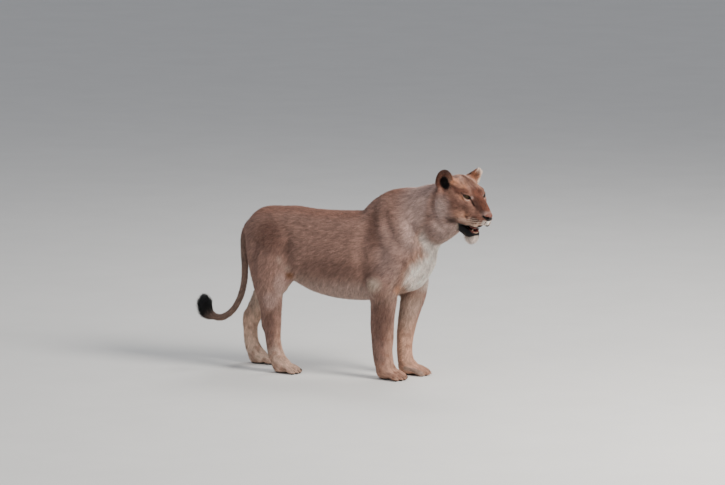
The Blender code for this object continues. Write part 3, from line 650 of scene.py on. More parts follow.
def refined(points, tris):
    """Split each edge that is longer than wanted, and the triangles beside it to match."""
    for _ in range(5):
        pairs = np.sort(tris[:, ((0, 1), (1, 2), (2, 0))].reshape(-1, 2), axis=1)
        key, inverse = np.unique(pairs[:, 0] * len(points) + pairs[:, 1], return_inverse=True)
        a, b = key // len(points), key % len(points)
        middle = (points[a] + points[b]) / 2
        split = norms(points[a] - points[b]) > wanted_edge(middle)
        if not split.any():
            break
        new = np.full(len(key), -1)
        new[split] = len(points) + np.arange(split.sum())
        points = np.vstack((points, middle[split]))
        cut = new[inverse].reshape(-1, 3)
        count = (cut >= 0).sum(axis=1)
        made = [tris[count == 0]]
        for k in range(3):
            t, c = np.roll(tris, -k, axis=1), np.roll(cut, -k, axis=1)
            one = (count == 1) & (c[:, 0] >= 0)
            v, m = t[one], c[one]
            made += [np.column_stack(x) for x in ((v[:, 0], m[:, 0], v[:, 2]), (m[:, 0], v[:, 1], v[:, 2]))]
            two = (count == 2) & (c[:, 2] < 0)
            v, m = t[two], c[two]
            made += [np.column_stack(x) for x in ((m[:, 0], v[:, 1], m[:, 1]), (v[:, 0], m[:, 0], m[:, 1]),
                                                  (v[:, 0], m[:, 1], v[:, 2]))]
        v, m = tris[count == 3], cut[count == 3]
        made += [np.column_stack(x) for x in ((v[:, 0], m[:, 0], m[:, 2]), (m[:, 0], v[:, 1], m[:, 1]),
                                              (m[:, 2], m[:, 1], v[:, 2]), (m[:, 0], m[:, 1], m[:, 2]))]
        tris = np.vstack(made)
    return points, tris


def normals_of(points, tris):
    a, b, c = (points[tris[:, k]] for k in range(3))
    face = np.cross(b - a, c - a)
    n = np.stack([sum(np.bincount(tris[:, k], face[:, axis], len(points)) for k in range(3))
                  for axis in range(3)], axis=1)
    return n / np.maximum(norms(n)[:, None], 1e-12)


def settled(points, tris, rounds, relax=0.0):
    """Points drawn onto the skin's field, evened out along the surface by relax."""
    for _ in range(rounds):
        n = normals_of(points, tris)
        if relax:
            a, b = tris.ravel(), np.roll(tris, -1, axis=1).ravel()
            count = np.bincount(a, minlength=len(points)) + np.bincount(b, minlength=len(points))
            mean = np.stack([np.bincount(a, points[b, k], len(points))
                             + np.bincount(b, points[a, k], len(points)) for k in range(3)],
                            axis=1) / np.maximum(count, 1)[:, None]
            drift = mean - points
            drift -= n * (drift * n).sum(axis=1)[:, None]
            points = points + drift * relax
        value = field_at(points, BODY) + coat_depth(points)
        value = field_at(points, DETAILS, value)
        points = points - n * np.clip(value, -0.003, 0.003)[:, None] * 0.85
        points[:, 2] = np.maximum(points[:, 2], SOLE)
    return points


BODY = body_masses()
DETAILS = list(skin_details())


# ---------------------------------------------------------------- colours of skin and coat
def rgb(r, g, b):
    """Linear colour from 0 to 255 display values."""
    c = np.array((r, g, b)) / 255
    return np.where(c > 0.04045, ((c + 0.055) / 1.055) ** 2.4, c / 12.92)


TAN = rgb(152, 114, 98)
GREY_TAN = rgb(142, 114, 104)
RUFOUS = rgb(122, 74, 54)
RED_BROWN = rgb(88, 48, 34)
ORANGE = rgb(190, 130, 94)
SAND = rgb(190, 142, 114)
CREAM = rgb(224, 202, 182)
WHITE = rgb(248, 238, 228)
PINK_GREY = rgb(192, 164, 154)
BROWN = rgb(94, 64, 54)
SMOKE = rgb(136, 114, 100)
HONEY = rgb(206, 160, 134)
DARK = rgb(54, 36, 31)
BLACK = rgb(17, 14, 14)
NOSE_PINK = rgb(110, 68, 58)
GUM = rgb(150, 88, 80)
PAD = rgb(44, 36, 34)
FLOOR = rgb(226, 224, 219)


def whisker_spots(h):
    """Roots of the whiskers: rows of dark dots on each pad."""
    hx, hy, hz = h.T
    spot = np.zeros(len(h))
    q = np.column_stack((hx, hz))
    for row, (x, z) in enumerate(((0.060, -0.110), (0.062, -0.120), (0.070, -0.130))):
        for i in range(5 - row):
            at = (x + 0.0130 * i, z + 0.0022 * i)
            spot = np.maximum(spot, soft(norms(q - at), 0.0042, 0.0018))
    return spot * (hx > 0.04) * (np.abs(hy) > 0.022)


def lip_line(j):
    """Height of the lower lip's edge along the jaw, in the jaw frame."""
    return np.interp(j[:, 0], (0.08, 0.10, 0.131, 0.164, 0.194, 0.208),
                     (-0.136, -0.140, -0.141, -0.136, -0.123, -0.107))


def nose_leather(h):
    nose = norms((h - (0.140, 0, -0.081)) / (0.022, 0.023, 0.0205))
    return soft(nose, 1.16, 1.02) * soft(h[:, 0], 0.118, 0.127)


def mouth_roof(h):
    """1 on the palate and the inner side of the upper lip."""
    hx, hy, hz = h.T
    high = soft(hz, -0.142, -0.147) * (hz > -0.180)
    return high * soft(np.abs(hy), 0.0635, 0.056) * soft(hx, 0.140, 0.128) * (hx > -0.04)


def head_colours(h, p):
    """Marks of the head in order, later ones over earlier: (how much, colour)."""
    hx, hy, hz = h.T
    y = np.abs(hy)
    j = local(p, JAW)
    yield soft(hz, 0.015, 0.060) * 0.55, SAND
    yield soft(hz, -0.06, -0.13) * soft(hx, 0.02, -0.05) * 0.6, GREY_TAN
    yield patch(h, (-30, 105, -45), (50, 50, 35)) * 0.65, BROWN
    yield patch(h, (12, 65, -55), (36, 32, 24)) * 0.65, BROWN
    streak = noise(h * (0.5, 1, 1), 0.012, 8)
    yield patch(h, (-102, 138, -96), (52, 55, 66), 0.6) * np.clip(0.95 + 0.35 * streak, 0, 1), PINK_GREY
    # Painted shade: brown down the fold behind the ruff, where the neck lies in shade.
    yield stripe(h, [(-150, 112, 30), (-168, 130, 0), (-163, 145, -45), (-148, 152, -100), (-122, 142, -150)],
                 13) * 0.60, BROWN
    # Painted shadow: a dark line behind the ear, where it meets the neck.
    yield stripe(h, [(-150, 108, 45), (-163, 120, 15), (-166, 132, -12)], 15) * 0.85, DARK
    yield patch(h, (-112, 38, 66), (45, 26, 30)) * 0.4, PINK_GREY
    yield stripe(h, [(-98, 98, 36), (-64, 86, 26), (-30, 80, 12)], 15) * 0.80, RED_BROWN
    yield patch(h, (-96, 72, 60), (36, 32, 28)) * 0.80, ORANGE
    yield patch(h, (-105, 70, 80), (55, 45, 32)) * 0.85 * (hy > 0), RUFOUS
    yield soft(noise(h, 0.011, 10), 0.15, 0.7) * soft(hz, -0.01, 0.03) * 0.65, BROWN
    yield soft(noise(h, 0.013, 12), 0.35, 0.8) * soft(hz, -0.01, 0.03) * 0.26, CREAM
    # Painted shade: brown along the furrow down the middle of the forehead.
    yield stripe(h, [(-110, 0, 70), (-50, 0, 60), (13, 0, 36), (50, 0, 10)], 11) * 0.9, BROWN
    yield stripe(h, [(-70, 15, 62), (13, 22, 34), (52, 16, 4)], 8) * 0.6, BROWN
    yield stripe(h, [(30, 0, 22), (70, 0, -6), (120, 0, -60)], 38) * 0.92, mix(RUFOUS, RED_BROWN, 0.8)
    yield stripe(h, [(40, 34, -12), (80, 36, -48), (115, 32, -78)], 24) * 0.50, BROWN
    yield patch(h, (-30, 60, 38), (26, 22, 10)) * 0.55, ORANGE
    yield patch(h, (-12, 58, 20), (32, 24, 14)) * 0.92, mix(RUFOUS, BROWN, 0.5)
    yield patch(h, (26, 38, -8), (11, 9, 11)) * 0.60, PINK_GREY
    yield patch(h, (-6, 72, -12), (18, 16, 11)) * 0.42, ORANGE
    yield patch(h, (16, 54, -18), (16, 14, 10)) * 0.50, BROWN
    yield patch(h, (100, 46, -108), (44, 34, 24)) * 0.90, mix(RED_BROWN, BROWN, 0.4)
    yield patch(h, (80, 50, -134), (56, 38, 16)) * 0.45, SAND
    yield patch(h, (0, 64, -106), (56, 34, 18), 0.8) * np.clip(0.42 + 0.35 * streak, 0, 1), SAND
    rows = soft(np.abs((hz + 0.115 - 0.17 * (hx - 0.06) + 0.005) % 0.010 - 0.005), 0.0030, 0.0012)
    yield rows * patch(h, (88, 48, -121), (54, 36, 21)) * 0.62, CREAM
    yield soft(hz, -0.128, -0.142) * soft(hx, 0.010, 0.070) * 0.32, CREAM
    # White on the front of the muzzle, growing stronger towards the left (far) side as painted rim light.
    front = soft(y, 0.030, 0.022) * soft(hx, 0.095, 0.110)
    yield front * soft(hz, -0.096, -0.105) * np.interp(hy, (-0.014, 0.004), (0.38, 0.82)), WHITE
    # Black under the front of the upper lip: the lip's own black edge, with painted shade beneath it.
    yield patch(h, (112, 24, -142), (20, 18, 10), 0.3) * 0.95, BLACK
    yield patch(h, (10, 66, -130), (40, 26, 12)) * 0.22, CREAM
    yield patch(h, (-48, 90, -152), (26, 36, 20), 0.8) * 0.84, DARK
    yield soft(hz, -0.150, -0.185) * soft(hx, -0.19, -0.10) * 0.85, PINK_GREY
    yield patch(h, (-30, 58, -184), (16, 24, 22)) * 0.8, CREAM
    lip = lip_line(j)
    below = soft(j[:, 2], lip + 0.002, lip - 0.003)
    lower = soft(j[:, 0], 0.102, 0.120) * (hz < -0.150)
    yield lower * below * 0.95, CREAM
    yield lower * below * soft(j[:, 0], 0.125, 0.150) * 0.95, mix(WHITE, GREY_TAN, 0.52)
    yield whisker_spots(h) * 0.95, DARK
    yield from lid_colours(p)
    # Black on the lower lip and in the open mouth above it: the lip's own black, and painted shade inside the
    # mouth.
    yield lower * (1 - below), BLACK
    yield soft(j[:, 2], -0.099, -0.094) * (hz < -0.156) * soft(y, 0.030, 0.022) * lower * 0.8, GUM
    # Painted shade: the palate and the inner side of the upper lip are painted black.
    yield mouth_roof(h), BLACK
    # Painted highlight: a pink-grey patch on top of the nose, behind the leather.
    yield patch(h, (132, 14, -68), (26, 30, 14), 0.7) * 0.36, PINK_GREY
    leather = nose_leather(h)
    yield leather, mix(NOSE_PINK, BROWN, 0.25)
    yield leather * soft(hz, -0.074, -0.083) * 0.97, mix(DARK, BLACK, 0.85)
    for s in SIDES.values():
        hole = norms((h - (0.141, s * 0.0125, -0.0825)) / (0.017, 0.0072, 0.0065))
        comma = to_path(h, [(0.150, s * 0.016, -0.087), (0.138, s * 0.0245, -0.084),
                            (0.126, s * 0.030, -0.078)])[0]
        yield np.maximum(soft(hole, 1.15, 0.95), soft(comma, 0.0070, 0.0050)), BLACK
    yield patch(h, (146, 0, -98), (22, 11, 14), 0.4) * 0.95, BLACK
    yield soft(y, 0.0046, 0.0026) * soft(hx, 0.095, 0.105) * soft(hz, -0.088, -0.094) * 0.95, BLACK
    yield from ear_colours(p)


def lid_ring(p, s):
    """How far round the opening between the lids a point is: 1 at its edge."""
    e = local(p, slit_place(s))
    ring = norms(e[:, 1:] / (0.0165, 0.0078))
    return np.where((e[:, 0] > -0.030) & (e[:, 0] < 0.03), ring, 9.0)


def lid_colours(p):
    """Black rims, the pale line under the lower lid, the tear line and painted shade under the brow."""
    for s in SIDES.values():
        e = local(p, slit_place(s)) * (1, s, 1)
        near = np.abs(e[:, 0]) < 0.035
        flat = e * (0, 1, 1)
        # Painted shade: a brown band over the opening of the lids, under the brow.
        yield near * patch(flat, (0, 0, 16), (1000, 26, 10)) * 0.45, BROWN
        yield near * stripe_at(flat, [(0, 20, -4), (0, 10, -14), (0, -4, -16.5), (0, -19, -12)],
                               1.9) * 0.34, CREAM
        yield near * stripe_at(flat, [(0, -20, -2), (0, -32, -10), (0, -50, -24)], 4.2) * 0.95, DARK
        yield near * stripe_at(flat, [(0, 18, 1), (0, 30, 5)], 4) * 0.8, DARK
        yield soft(lid_ring(p, s), 1.50, 1.26), BLACK


def ear_shell(p, s):
    """A point in the ear's frame, at the size of a full ear, and 1 where it is on the ear itself."""
    ear = local(p, ear_place(s)) / EAR_SIZE[s]
    shell = norms((ear - (-0.006, 0, 0)) / (0.032, 0.045, 0.063))
    return ear, soft(shell, 1.30, 1.10)


def ear_hollow(ear, s, edge=1.0):
    """1 in the depth of the ear."""
    q = (ear[:, 1:] - (-s * 0.008, -0.010)) / (0.0280, 0.0395)
    return soft(norms(q), edge + 0.10, edge - 0.06) * (ear[:, 0] < 0.014) * (ear[:, 0] > -0.050)


def ear_colours(p):
    """Rims, backs, inner hair and hollow of the ears."""
    for s in SIDES.values():
        ear, on = ear_shell(p, s)
        across = -s * ear[:, 1]
        front = on * soft(ear[:, 0], -0.018, -0.008)
        # The near (right) ear gets darker rims and a dark top as painted shade; the far (left) ear gets
        # lighter rims, cream hair and a lighter hollow as painted light through it.
        yield on * soft(ear[:, 2], -0.050, -0.020) * 0.85, RED_BROWN if s < 0 else mix(RUFOUS, ORANGE, 0.25)
        yield on * soft(ear[:, 2], 0.030, 0.052) * 0.6 * (s < 0), DARK
        back = soft(ear[:, 0], -0.018, -0.028) * soft(ear[:, 2], 0.036, 0.014) * soft(across, 0.012, -0.004)
        back = back * (1 if s < 0 else soft(across, 0.004, -0.012))
        yield on * back * 0.95, BLACK
        if s > 0:
            yield front * soft(across, 0.038, 0.022) * 0.85, CREAM
        hairs = np.clip(0.75 + 0.5 * noise(ear * (1, 1, 0.4), 0.006, 9), 0, 1)
        yield front * soft(across, 0.020, 0.034) * soft(ear[:, 2], 0.045, 0.025) * 0.30 * hairs, ORANGE
        yield front * soft(across, 0.022, 0.032) * soft(ear[:, 2], 0.030, 0.010) * (1 - hairs) * 0.45, CREAM
        # Black in the depth of the ear: partly its dark skin, partly painted shade in the hollow.
        inside = ear_hollow(ear, s) * (norms(ear) < 0.08)
        yield inside * (1 if s < 0 else 0.9), BLACK


def body_colours(p, n):
    """Marks of the trunk, legs and tail in order: (how much, colour)."""
    x, y, z = p.T
    side = np.sign(y)
    yield soft(n[:, 2], 0.60, 0.95) * soft(z, 0.74, 0.82) * 0.45, RUFOUS
    yield soft(x, 0.02, 0.15) * soft(z, 0.66, 0.76) * 0.76, PINK_GREY
    yield patch(p, (0, 150, 745), (60, 100, 90), 0.7) * 0.25, PINK_GREY
    yield soft(n[:, 2], 0.0, -0.8) * soft(z, 0.65, 0.53) * soft(z, 0.33, 0.45) * 0.30, CREAM
    yield soft(z, 0.545, 0.475) * soft(x, -0.62, -0.50) * soft(x, -0.04, -0.12) * (z > 0.40) * 0.55, PINK_GREY
    yield patch(p, (-270, 160, 585), (240, 100, 55), 0.7) * 0.45, BROWN
    yield patch(p, (-655, 150, 745), (85, 100, 95), 0.7) * 0.82, BROWN
    yield patch(p, (-585, 150, 680), (60, 100, 50), 0.6) * 0.40, BROWN
    yield stripe(p, [(-85, 115, 870), (-76, 130, 810), (-50, 145, 735)], 34, 0.8) * 0.70, BROWN
    yield patch(p, (30, 190, 630), (80, 90, 80), 0.6) * 0.30, PINK_GREY
    edge = np.interp(z, (0.45, 0.52, 0.60, 0.68, 0.78, 0.88), (0.060, 0.085, 0.110, 0.172, 0.160, 0.23))
    ahead = x - edge - 0.014 * noise(p * (1, 1, 0.5), 0.022, 4)
    yield soft(ahead, -0.035, 0.020) * soft(z, 0.43, 0.50) * soft(z, 0.90, 0.76) * 0.55, HONEY
    yield soft(ahead, -0.006, 0.050) * soft(z, 0.43, 0.50) * soft(z, 0.86, 0.74) * 0.90, WHITE
    yield patch(p, (80, 135, 495), (30, 40, 30)) * 0.55, ORANGE
    yield soft(-n[:, 1] * side, 0.15, 0.7) * soft(z, 0.58, 0.48) * np.where(x > -0.2, 0.30, 0.65), CREAM
    yield soft(z, 0.40, 0.46) * soft(z, 0.60, 0.52) * (y > 0.03) * (x > -0.2) * 0.45, RUFOUS
    yield stripe(p, [(-590, 165, 628), (-577, 160, 603), (-560, 150, 575)], 20, 0.9) * 0.70, CREAM
    yield patch(p, (-550, 141, 536), (22, 60, 18)) * 0.8, rgb(112, 72, 44)
    yield patch(p, (-55, 188, 520), (36, 50, 28), 1.0) * np.where(y < 0, 0.75, 0.40), CREAM
    yield patch(p, (-600, 155, 480), (30, 50, 70)) * 0.4, PINK_GREY
    yield patch(p, (-655, 170, 400), (40, 60, 45)) * 0.45, PINK_GREY
    yield patch(p, (-655, 155, 265), (34, 50, 80)) * 0.45, BROWN
    yield patch(p, (-20, 155, 330), (44, 60, 150)) * 0.62, BROWN
    low = soft(z, 0.38, 0.12)
    yield low * soft(n[:, 0], 0.25, 0.8) * 0.55, HONEY
    # Painted shade: brown on the backs of the hind legs low down, over the heels.
    behind = soft(n[:, 0], -0.4, -0.8) * soft(z, 0.38, 0.30) * soft(z, 0.06, 0.12) * (x < -0.3)
    yield behind * 0.4 * (np.abs(y) > 0.07), BROWN
    # Paler lower legs on both sides; on the far (left) legs the pale reaches higher and is stronger, as
    # painted light.
    far = y > 0.03
    pale = soft(z, np.where(far, 0.36, 0.13), np.where(far, 0.16, 0.05)) * np.where(far, 0.70, 0.50)
    yield pale * (np.abs(y) > 0.03), HONEY
    # Painted light: the far hind leg low down is painted cream and honey.
    yield soft(z, 0.36, 0.22) * far * (x < -0.5) * 0.90, mix(CREAM, HONEY, 0.5)
    yield soft(z, 0.20, 0.10) * (x < -0.5) * 0.35, CREAM
    yield low * soft(noise(p, 0.022, 3), 0.10, 0.6) * 0.42, RUFOUS
    yield soft(z, 0.014, 0.006) * (np.abs(y) > 0.03), PAD
    away, along = to_path(p, TAIL_PATH)
    on_tail = soft(away, 0.050, 0.035) * soft(along, 0.13, 0.22)
    yield on_tail * 0.60, SMOKE
    yield on_tail * soft(along, 0.79, 0.87), BLACK


def coat_colour(p, n):
    """The coat's colour at points with normals n, the same for skin and tufts."""
    h = local(p, HEAD)
    on_head = soft(h[:, 0], -0.205, -0.150) * soft(h[:, 2], -0.40, -0.26)
    body = np.tile(mix(TAN, GREY_TAN, 0.5), (len(p), 1))
    for amount, colour in body_colours(p, n):
        body = mix(body, colour, amount[:, None])
    head = np.tile(mix(TAN, RUFOUS, 0.30), (len(p), 1))
    for amount, colour in head_colours(h, p):
        head = mix(head, colour, amount[:, None])
    both = mix(body, head, on_head[:, None])
    way = lie(p, n) * mix(0.0075, 0.0045, on_head)[:, None]
    vary = 1 + 0.06 * noise(p, 0.050, 1) + 0.08 * noise(p, 0.016, 2)
    for share in (-1, 0, 1):
        vary += STREAKS * (noise(p + way * share, 0.0085, 5) + 0.8 * noise(p + way * share, 0.0050, 6)) / 3
    return np.clip(both * vary[:, None], 0.003, 0.95)


def bareness(p):
    """1 on leather, lips, lids and pads, where no hair grows."""
    h = local(p, HEAD)
    j = local(p, JAW)
    lip = lip_line(j)
    lower = soft(j[:, 0], 0.102, 0.120) * (h[:, 2] < -0.150)
    bare = np.maximum(nose_leather(h), lower * soft(j[:, 2], lip - 0.001, lip + 0.002))
    bare = np.maximum(bare, mouth_roof(h))
    for s in SIDES.values():
        bare = np.maximum(bare, soft(lid_ring(p, s), 1.42, 1.28))
        ear, _ = ear_shell(p, s)
        bare = np.maximum(bare, ear_hollow(ear, s, 0.72) * (norms(ear) < 0.08))
    return np.maximum(bare, soft(p[:, 2], 0.012, 0.006))


# ---------------------------------------------------------------- lie and length of the coat
def lie(p, n):
    """The way the hair lies at points with normals n, along the skin."""
    h = local(p, HEAD)
    hx, _, hz = h.T
    x, y, z = p.T
    leg = soft(z, 0.59, 0.45) * (np.abs(y) > 0.04)
    ways = [(soft(x, 0.02, 0.16), (-0.70, 0.15, -0.75)),  # neck
            (soft(x, 0.08, 0.16) * soft(n[:, 0], 0.1, 0.5), (-0.20, 0, -1.0)),  # chest
            (soft(n[:, 2], -0.3, -0.8) * soft(z, 0.65, 0.53), (-1.0, 0, -0.1)),  # belly
            (leg, (-0.14, 0, -1.0)),
            (soft(x, -0.50, -0.60) * soft(z, 0.83, 0.65) * (1 - leg), (-0.45, 0, -1.0))]  # haunch
    for place, _ in PAWS:
        q = local(p, place)
        on = soft(q[:, 2], 0.085, 0.055) * (norms(q[:, :2]) < 0.14)
        ways.append((on, place.vector((1, 0, -0.5))))
    away, along = to_path(p, TAIL_PATH)
    ahead = np.stack([np.interp(along, TAIL_SHARE, TAIL_WAY[:, k]) for k in range(3)], axis=1)
    ways.append((soft(away, 0.055, 0.035) * soft(along, 0.02, 0.12), ahead))
    from_nose = (h - (0.165, 0, -0.072)) * (1, 1.2, 1)
    from_nose /= norms(from_nose)[:, None]
    on_head = soft(hx, -0.26, -0.16) * soft(hz, -0.36, -0.28)
    ways.append((on_head, from_nose @ HEAD.axes.T))
    jaw = on_head * (soft(hz, -0.185, -0.21) * soft(hx, -0.04, 0.02))
    ways.append((jaw, HEAD.vector((-0.45, 0, -0.9))))
    for s in SIDES.values():
        place = ear_place(s)
        ear = local(p, place)
        near = soft(norms(ear), 0.085, 0.065) * on_head * soft(ear[:, 2], -0.03, 0.0)
        rim = near * soft(ear[:, 0], -0.008, 0.004) * soft(-s * ear[:, 1], 0.0, 0.02)
        ways += [(near, place.vector((0.10, 0, 1.0))), (rim, place.vector((0.3, s * 0.9, 0.5)))]
    d = np.column_stack((-np.ones(len(p)), 0 * x, -0.30 - 0.5 * soft(z, 0.78, 0.53)))
    for on, way in ways:
        d = mix(d, np.asarray(way), on[:, None])
    d = d + np.stack([noise(p, 0.050, 11 + k) for k in range(3)], axis=1) * 0.22
    d -= n * (d * n).sum(axis=1)[:, None]
    return d / np.maximum(norms(d)[:, None], 1e-9)


def hair(p, n):
    """Length and width of a tuft, how steeply it stands, and tufts per square metre."""
    h, j = local(p, HEAD), local(p, JAW)
    hx, _, hz = h.T
    x, _, z = p.T
    on_head = soft(hx, -0.25, -0.14) * soft(hz, -0.40, -0.27)
    chin = soft(j[:, 0], 0.12, 0.17) * soft(j[:, 2], -0.126, -0.142) * on_head
    ruff = on_head * patch(h, (-130, 130, -110), (50, 60, 90), 0.5)
    throat = soft(hz, -0.17, -0.22) * soft(hx, 0.03, -0.03) * soft(x, 0.10, 0.20)
    chest = soft(x, 0.09, 0.16) * soft(z, 0.86, 0.74) * soft(z, 0.43, 0.53)
    belly = soft(n[:, 2], -0.2, -0.7) * soft(z, 0.63, 0.53) * soft(z, 0.36, 0.43)
    elbow = patch(p, (-80, 165, 508), (35, 50, 45), 0.5)
    # Where, then length and width in mm, degrees off the skin and thousands to a square metre.
    marks = [(on_head, 13, 1.9, None, 230), (on_head * soft(hx, -0.09, 0.0), 7.8, 1.25, 13, 430),
             (soft(z, 0.42, 0.20), 14, 2.1, None, 150), (soft(z, 0.09, 0.06), 8.5, 1.6, None, 230),
             (chin, 35, None, 34), (ruff, 25, 2.4), (throat, 28), (chest, 26), (belly, 28),
             (elbow, 30, None, 24)]
    for s in SIDES.values():
        ear = local(p, ear_place(s))
        near = soft(norms(ear), 0.085, 0.065) * soft(ear[:, 2], -0.03, -0.01)
        fringe = near * soft(ear[:, 0], -0.012, 0.0) * soft(-s * ear[:, 1], 0.004, 0.020)
        marks += [(near, 7.5, 1.3, None, 330), (fringe, 26, None, 32)]
    away, along = to_path(p, TAIL_PATH)
    on_tail = soft(away, 0.050, 0.035) * soft(along, 0.05, 0.15)
    marks += [(on_tail, 17), (on_tail * soft(along, 0.78, 0.86), 46, 3.4, 46, 480)]
    for s in SIDES.values():
        away = norms(local(p, eye_place(s)) - (0.01, 0, 0))
        marks.append((soft(away, 0.034, 0.022), 4.5, 0.9))
    marks.append((soft(norms(h - (0.145, 0, -0.091)), 0.050, 0.028), 5))  # by the nose
    marks.append((on_head * soft(hx, 0.02, 0.05) * soft(hz, -0.16, -0.12), 5.5))
    made = [21, 2.7, 17, 115]
    for on, *values in marks:
        for i, value in enumerate(values):
            if value is not None:
                made[i] = mix(made[i], value, on)
    length, width, steep, crowd = made
    return length / MM, width / MM, np.radians(steep), crowd * 1e3 * (1 - bareness(p))


def tuft_mesh(name, roots, n, way, length, width, steep, colour, levels, rng):
    """Closed three-sided locks that bend towards the body, levels rings to each."""
    count = len(roots)
    roll = rng.normal(0, 0.28, count)[:, None]
    across = np.cross(n, way)
    up = n * np.cos(roll) + across * np.sin(roll)
    across = across * np.cos(roll) - n * np.sin(roll)
    rings = []
    at = roots - n * ROOT
    for level in range(levels):
        share = level / levels
        fat = (1 - 0.55 * share) * width[:, None]
        rings += [at - across * fat / 2, at + across * fat / 2, at + up * fat * 0.30]
        tilt = (steep * (1.15 - 0.75 * (level + 0.5) / levels * (levels > 1)))[:, None]
        at = at + (way * np.cos(tilt) + n * np.sin(tilt)) * (length / levels)[:, None]
    rings.append(at)
    points = np.stack(rings, axis=1)
    points[:, :, 2] = np.maximum(points[:, :, 2], SOLE - 0.0002)
    per = 3 * levels + 1
    faces = [(0, 2, 1)]
    for level in range(levels - 1):
        a = 3 * level
        for i, k in ((1, 0), (2, 1), (0, 2)):
            faces += [(a + k, a + i, a + 3 + i), (a + k, a + 3 + i, a + 3 + k)]
    a = 3 * (levels - 1)
    faces += [(a, a + 1, per - 1), (a, per - 1, a + 2), (a + 1, a + 2, per - 1)]
    faces = np.array(faces)
    tris = (np.arange(count)[:, None, None] * per + faces[None]).reshape(-1, 3)
    shade = np.concatenate([np.full(3, 0.80 + 0.22 * level / levels) for level in range(levels)] + [[1.12]])
    tone = colour[:, None, :] * shade[None, :, None]
    u, v = unwrapped(roots, n)
    step = 0.003
    du = np.array([0, 1, 0.5] * levels + [0.5]) * step
    dv = np.concatenate([np.full(3, level / levels) for level in range(levels)] + [[1.0]]) * step
    uv = np.stack((u[:, None] + du, v[:, None] + dv), axis=2)
    return solid(name, points.reshape(-1, 3), tris, tone.reshape(-1, 3), uv.reshape(-1, 2), smooth=levels > 1)


def unwrapped(p, n):
    """A box unwrap of the skin: each of six sheets is one face of the piece, laid out 3 by 2."""
    face = np.abs(n).argmax(axis=1)
    sheet = face * 2 + (np.take_along_axis(n, face[:, None], 1)[:, 0] > 0)
    low, high = p.min(axis=0), p.max(axis=0)
    q = (p - low) / np.maximum(high - low, 1e-6)
    first = np.where(face == 0, 1, 0)
    second = np.where(face == 2, 1, 2)
    a = np.take_along_axis(q, first[:, None], 1)[:, 0]
    b = np.take_along_axis(q, second[:, None], 1)[:, 0]
    return (sheet % 3 + 0.02 + 0.94 * a) / 3, (sheet // 3 + 0.02 + 0.94 * b) / 2


def solid(name, points, tris, colour=None, uv=None, smooth=True, extra=None):
    """A mesh object at the part's place, with a colour for each point."""
    mesh = bpy.data.meshes.new(name)
    mesh.vertices.add(len(points))
    mesh.vertices.foreach_set("co", (points - MIDDLE).astype(np.float32).ravel())
    mesh.loops.add(tris.size)
    mesh.loops.foreach_set("vertex_index", tris.astype(np.int32).ravel())
    mesh.polygons.add(len(tris))
    mesh.polygons.foreach_set("loop_start", np.arange(0, tris.size, 3, dtype=np.int32))
    mesh.update(calc_edges=True)
    mesh.polygons.foreach_set("use_smooth", np.full(len(tris), smooth))
    if colour is not None:
        layer = mesh.color_attributes.new("coat", "FLOAT_COLOR", "POINT")
        rgba = np.column_stack((colour, np.ones(len(colour))))
        layer.data.foreach_set("color", rgba.astype(np.float32).ravel())
    for key, values in (extra or {}).items():
        layer = mesh.attributes.new(key, "FLOAT", "POINT")
        layer.data.foreach_set("value", values.astype(np.float32))
    if uv is not None:
        layer = mesh.uv_layers.new(name="OFBake")
        layer.data.foreach_set("uv", uv[tris.ravel()].astype(np.float32).ravel())
    ob = bpy.data.objects.new(name, mesh)
    bpy.context.scene.collection.objects.link(ob)
    return ob


def region(p):
    """The coat piece that each point belongs to."""
    h = local(p, HEAD)
    hx, _, hz = h.T
    x, y, z = p.T
    side = np.where(y < 0, "right", "left")
    name = np.where(x > -0.16, "shoulder_", np.where(x > -0.53, "flank_", "haunch_"))
    name = np.where((z < 0.47) & (x <= -0.2) & ((x < -0.52) | (z < 0.36)), "hind_leg_", name)
    name = np.where((z < 0.47) & (x > -0.2), "fore_leg_", name)
    name = np.char.add(name, side)
    cut = (p - (0.125, 0, 0.82)) @ np.array((0.86, 0, 0.51)) > 0
    name = np.where(cut, "neck", name)
    away, along = to_path(p, TAIL_PATH)
    name = np.where((away < 0.055) & (along > 0.13) & (np.abs(y) < 0.06), "tail", name)
    on_head = (hx > -0.21) & (hz > -0.30) & cut
    name = np.where(on_head, "head", name)
    return np.where(on_head & (hx > -0.045), "face", name)


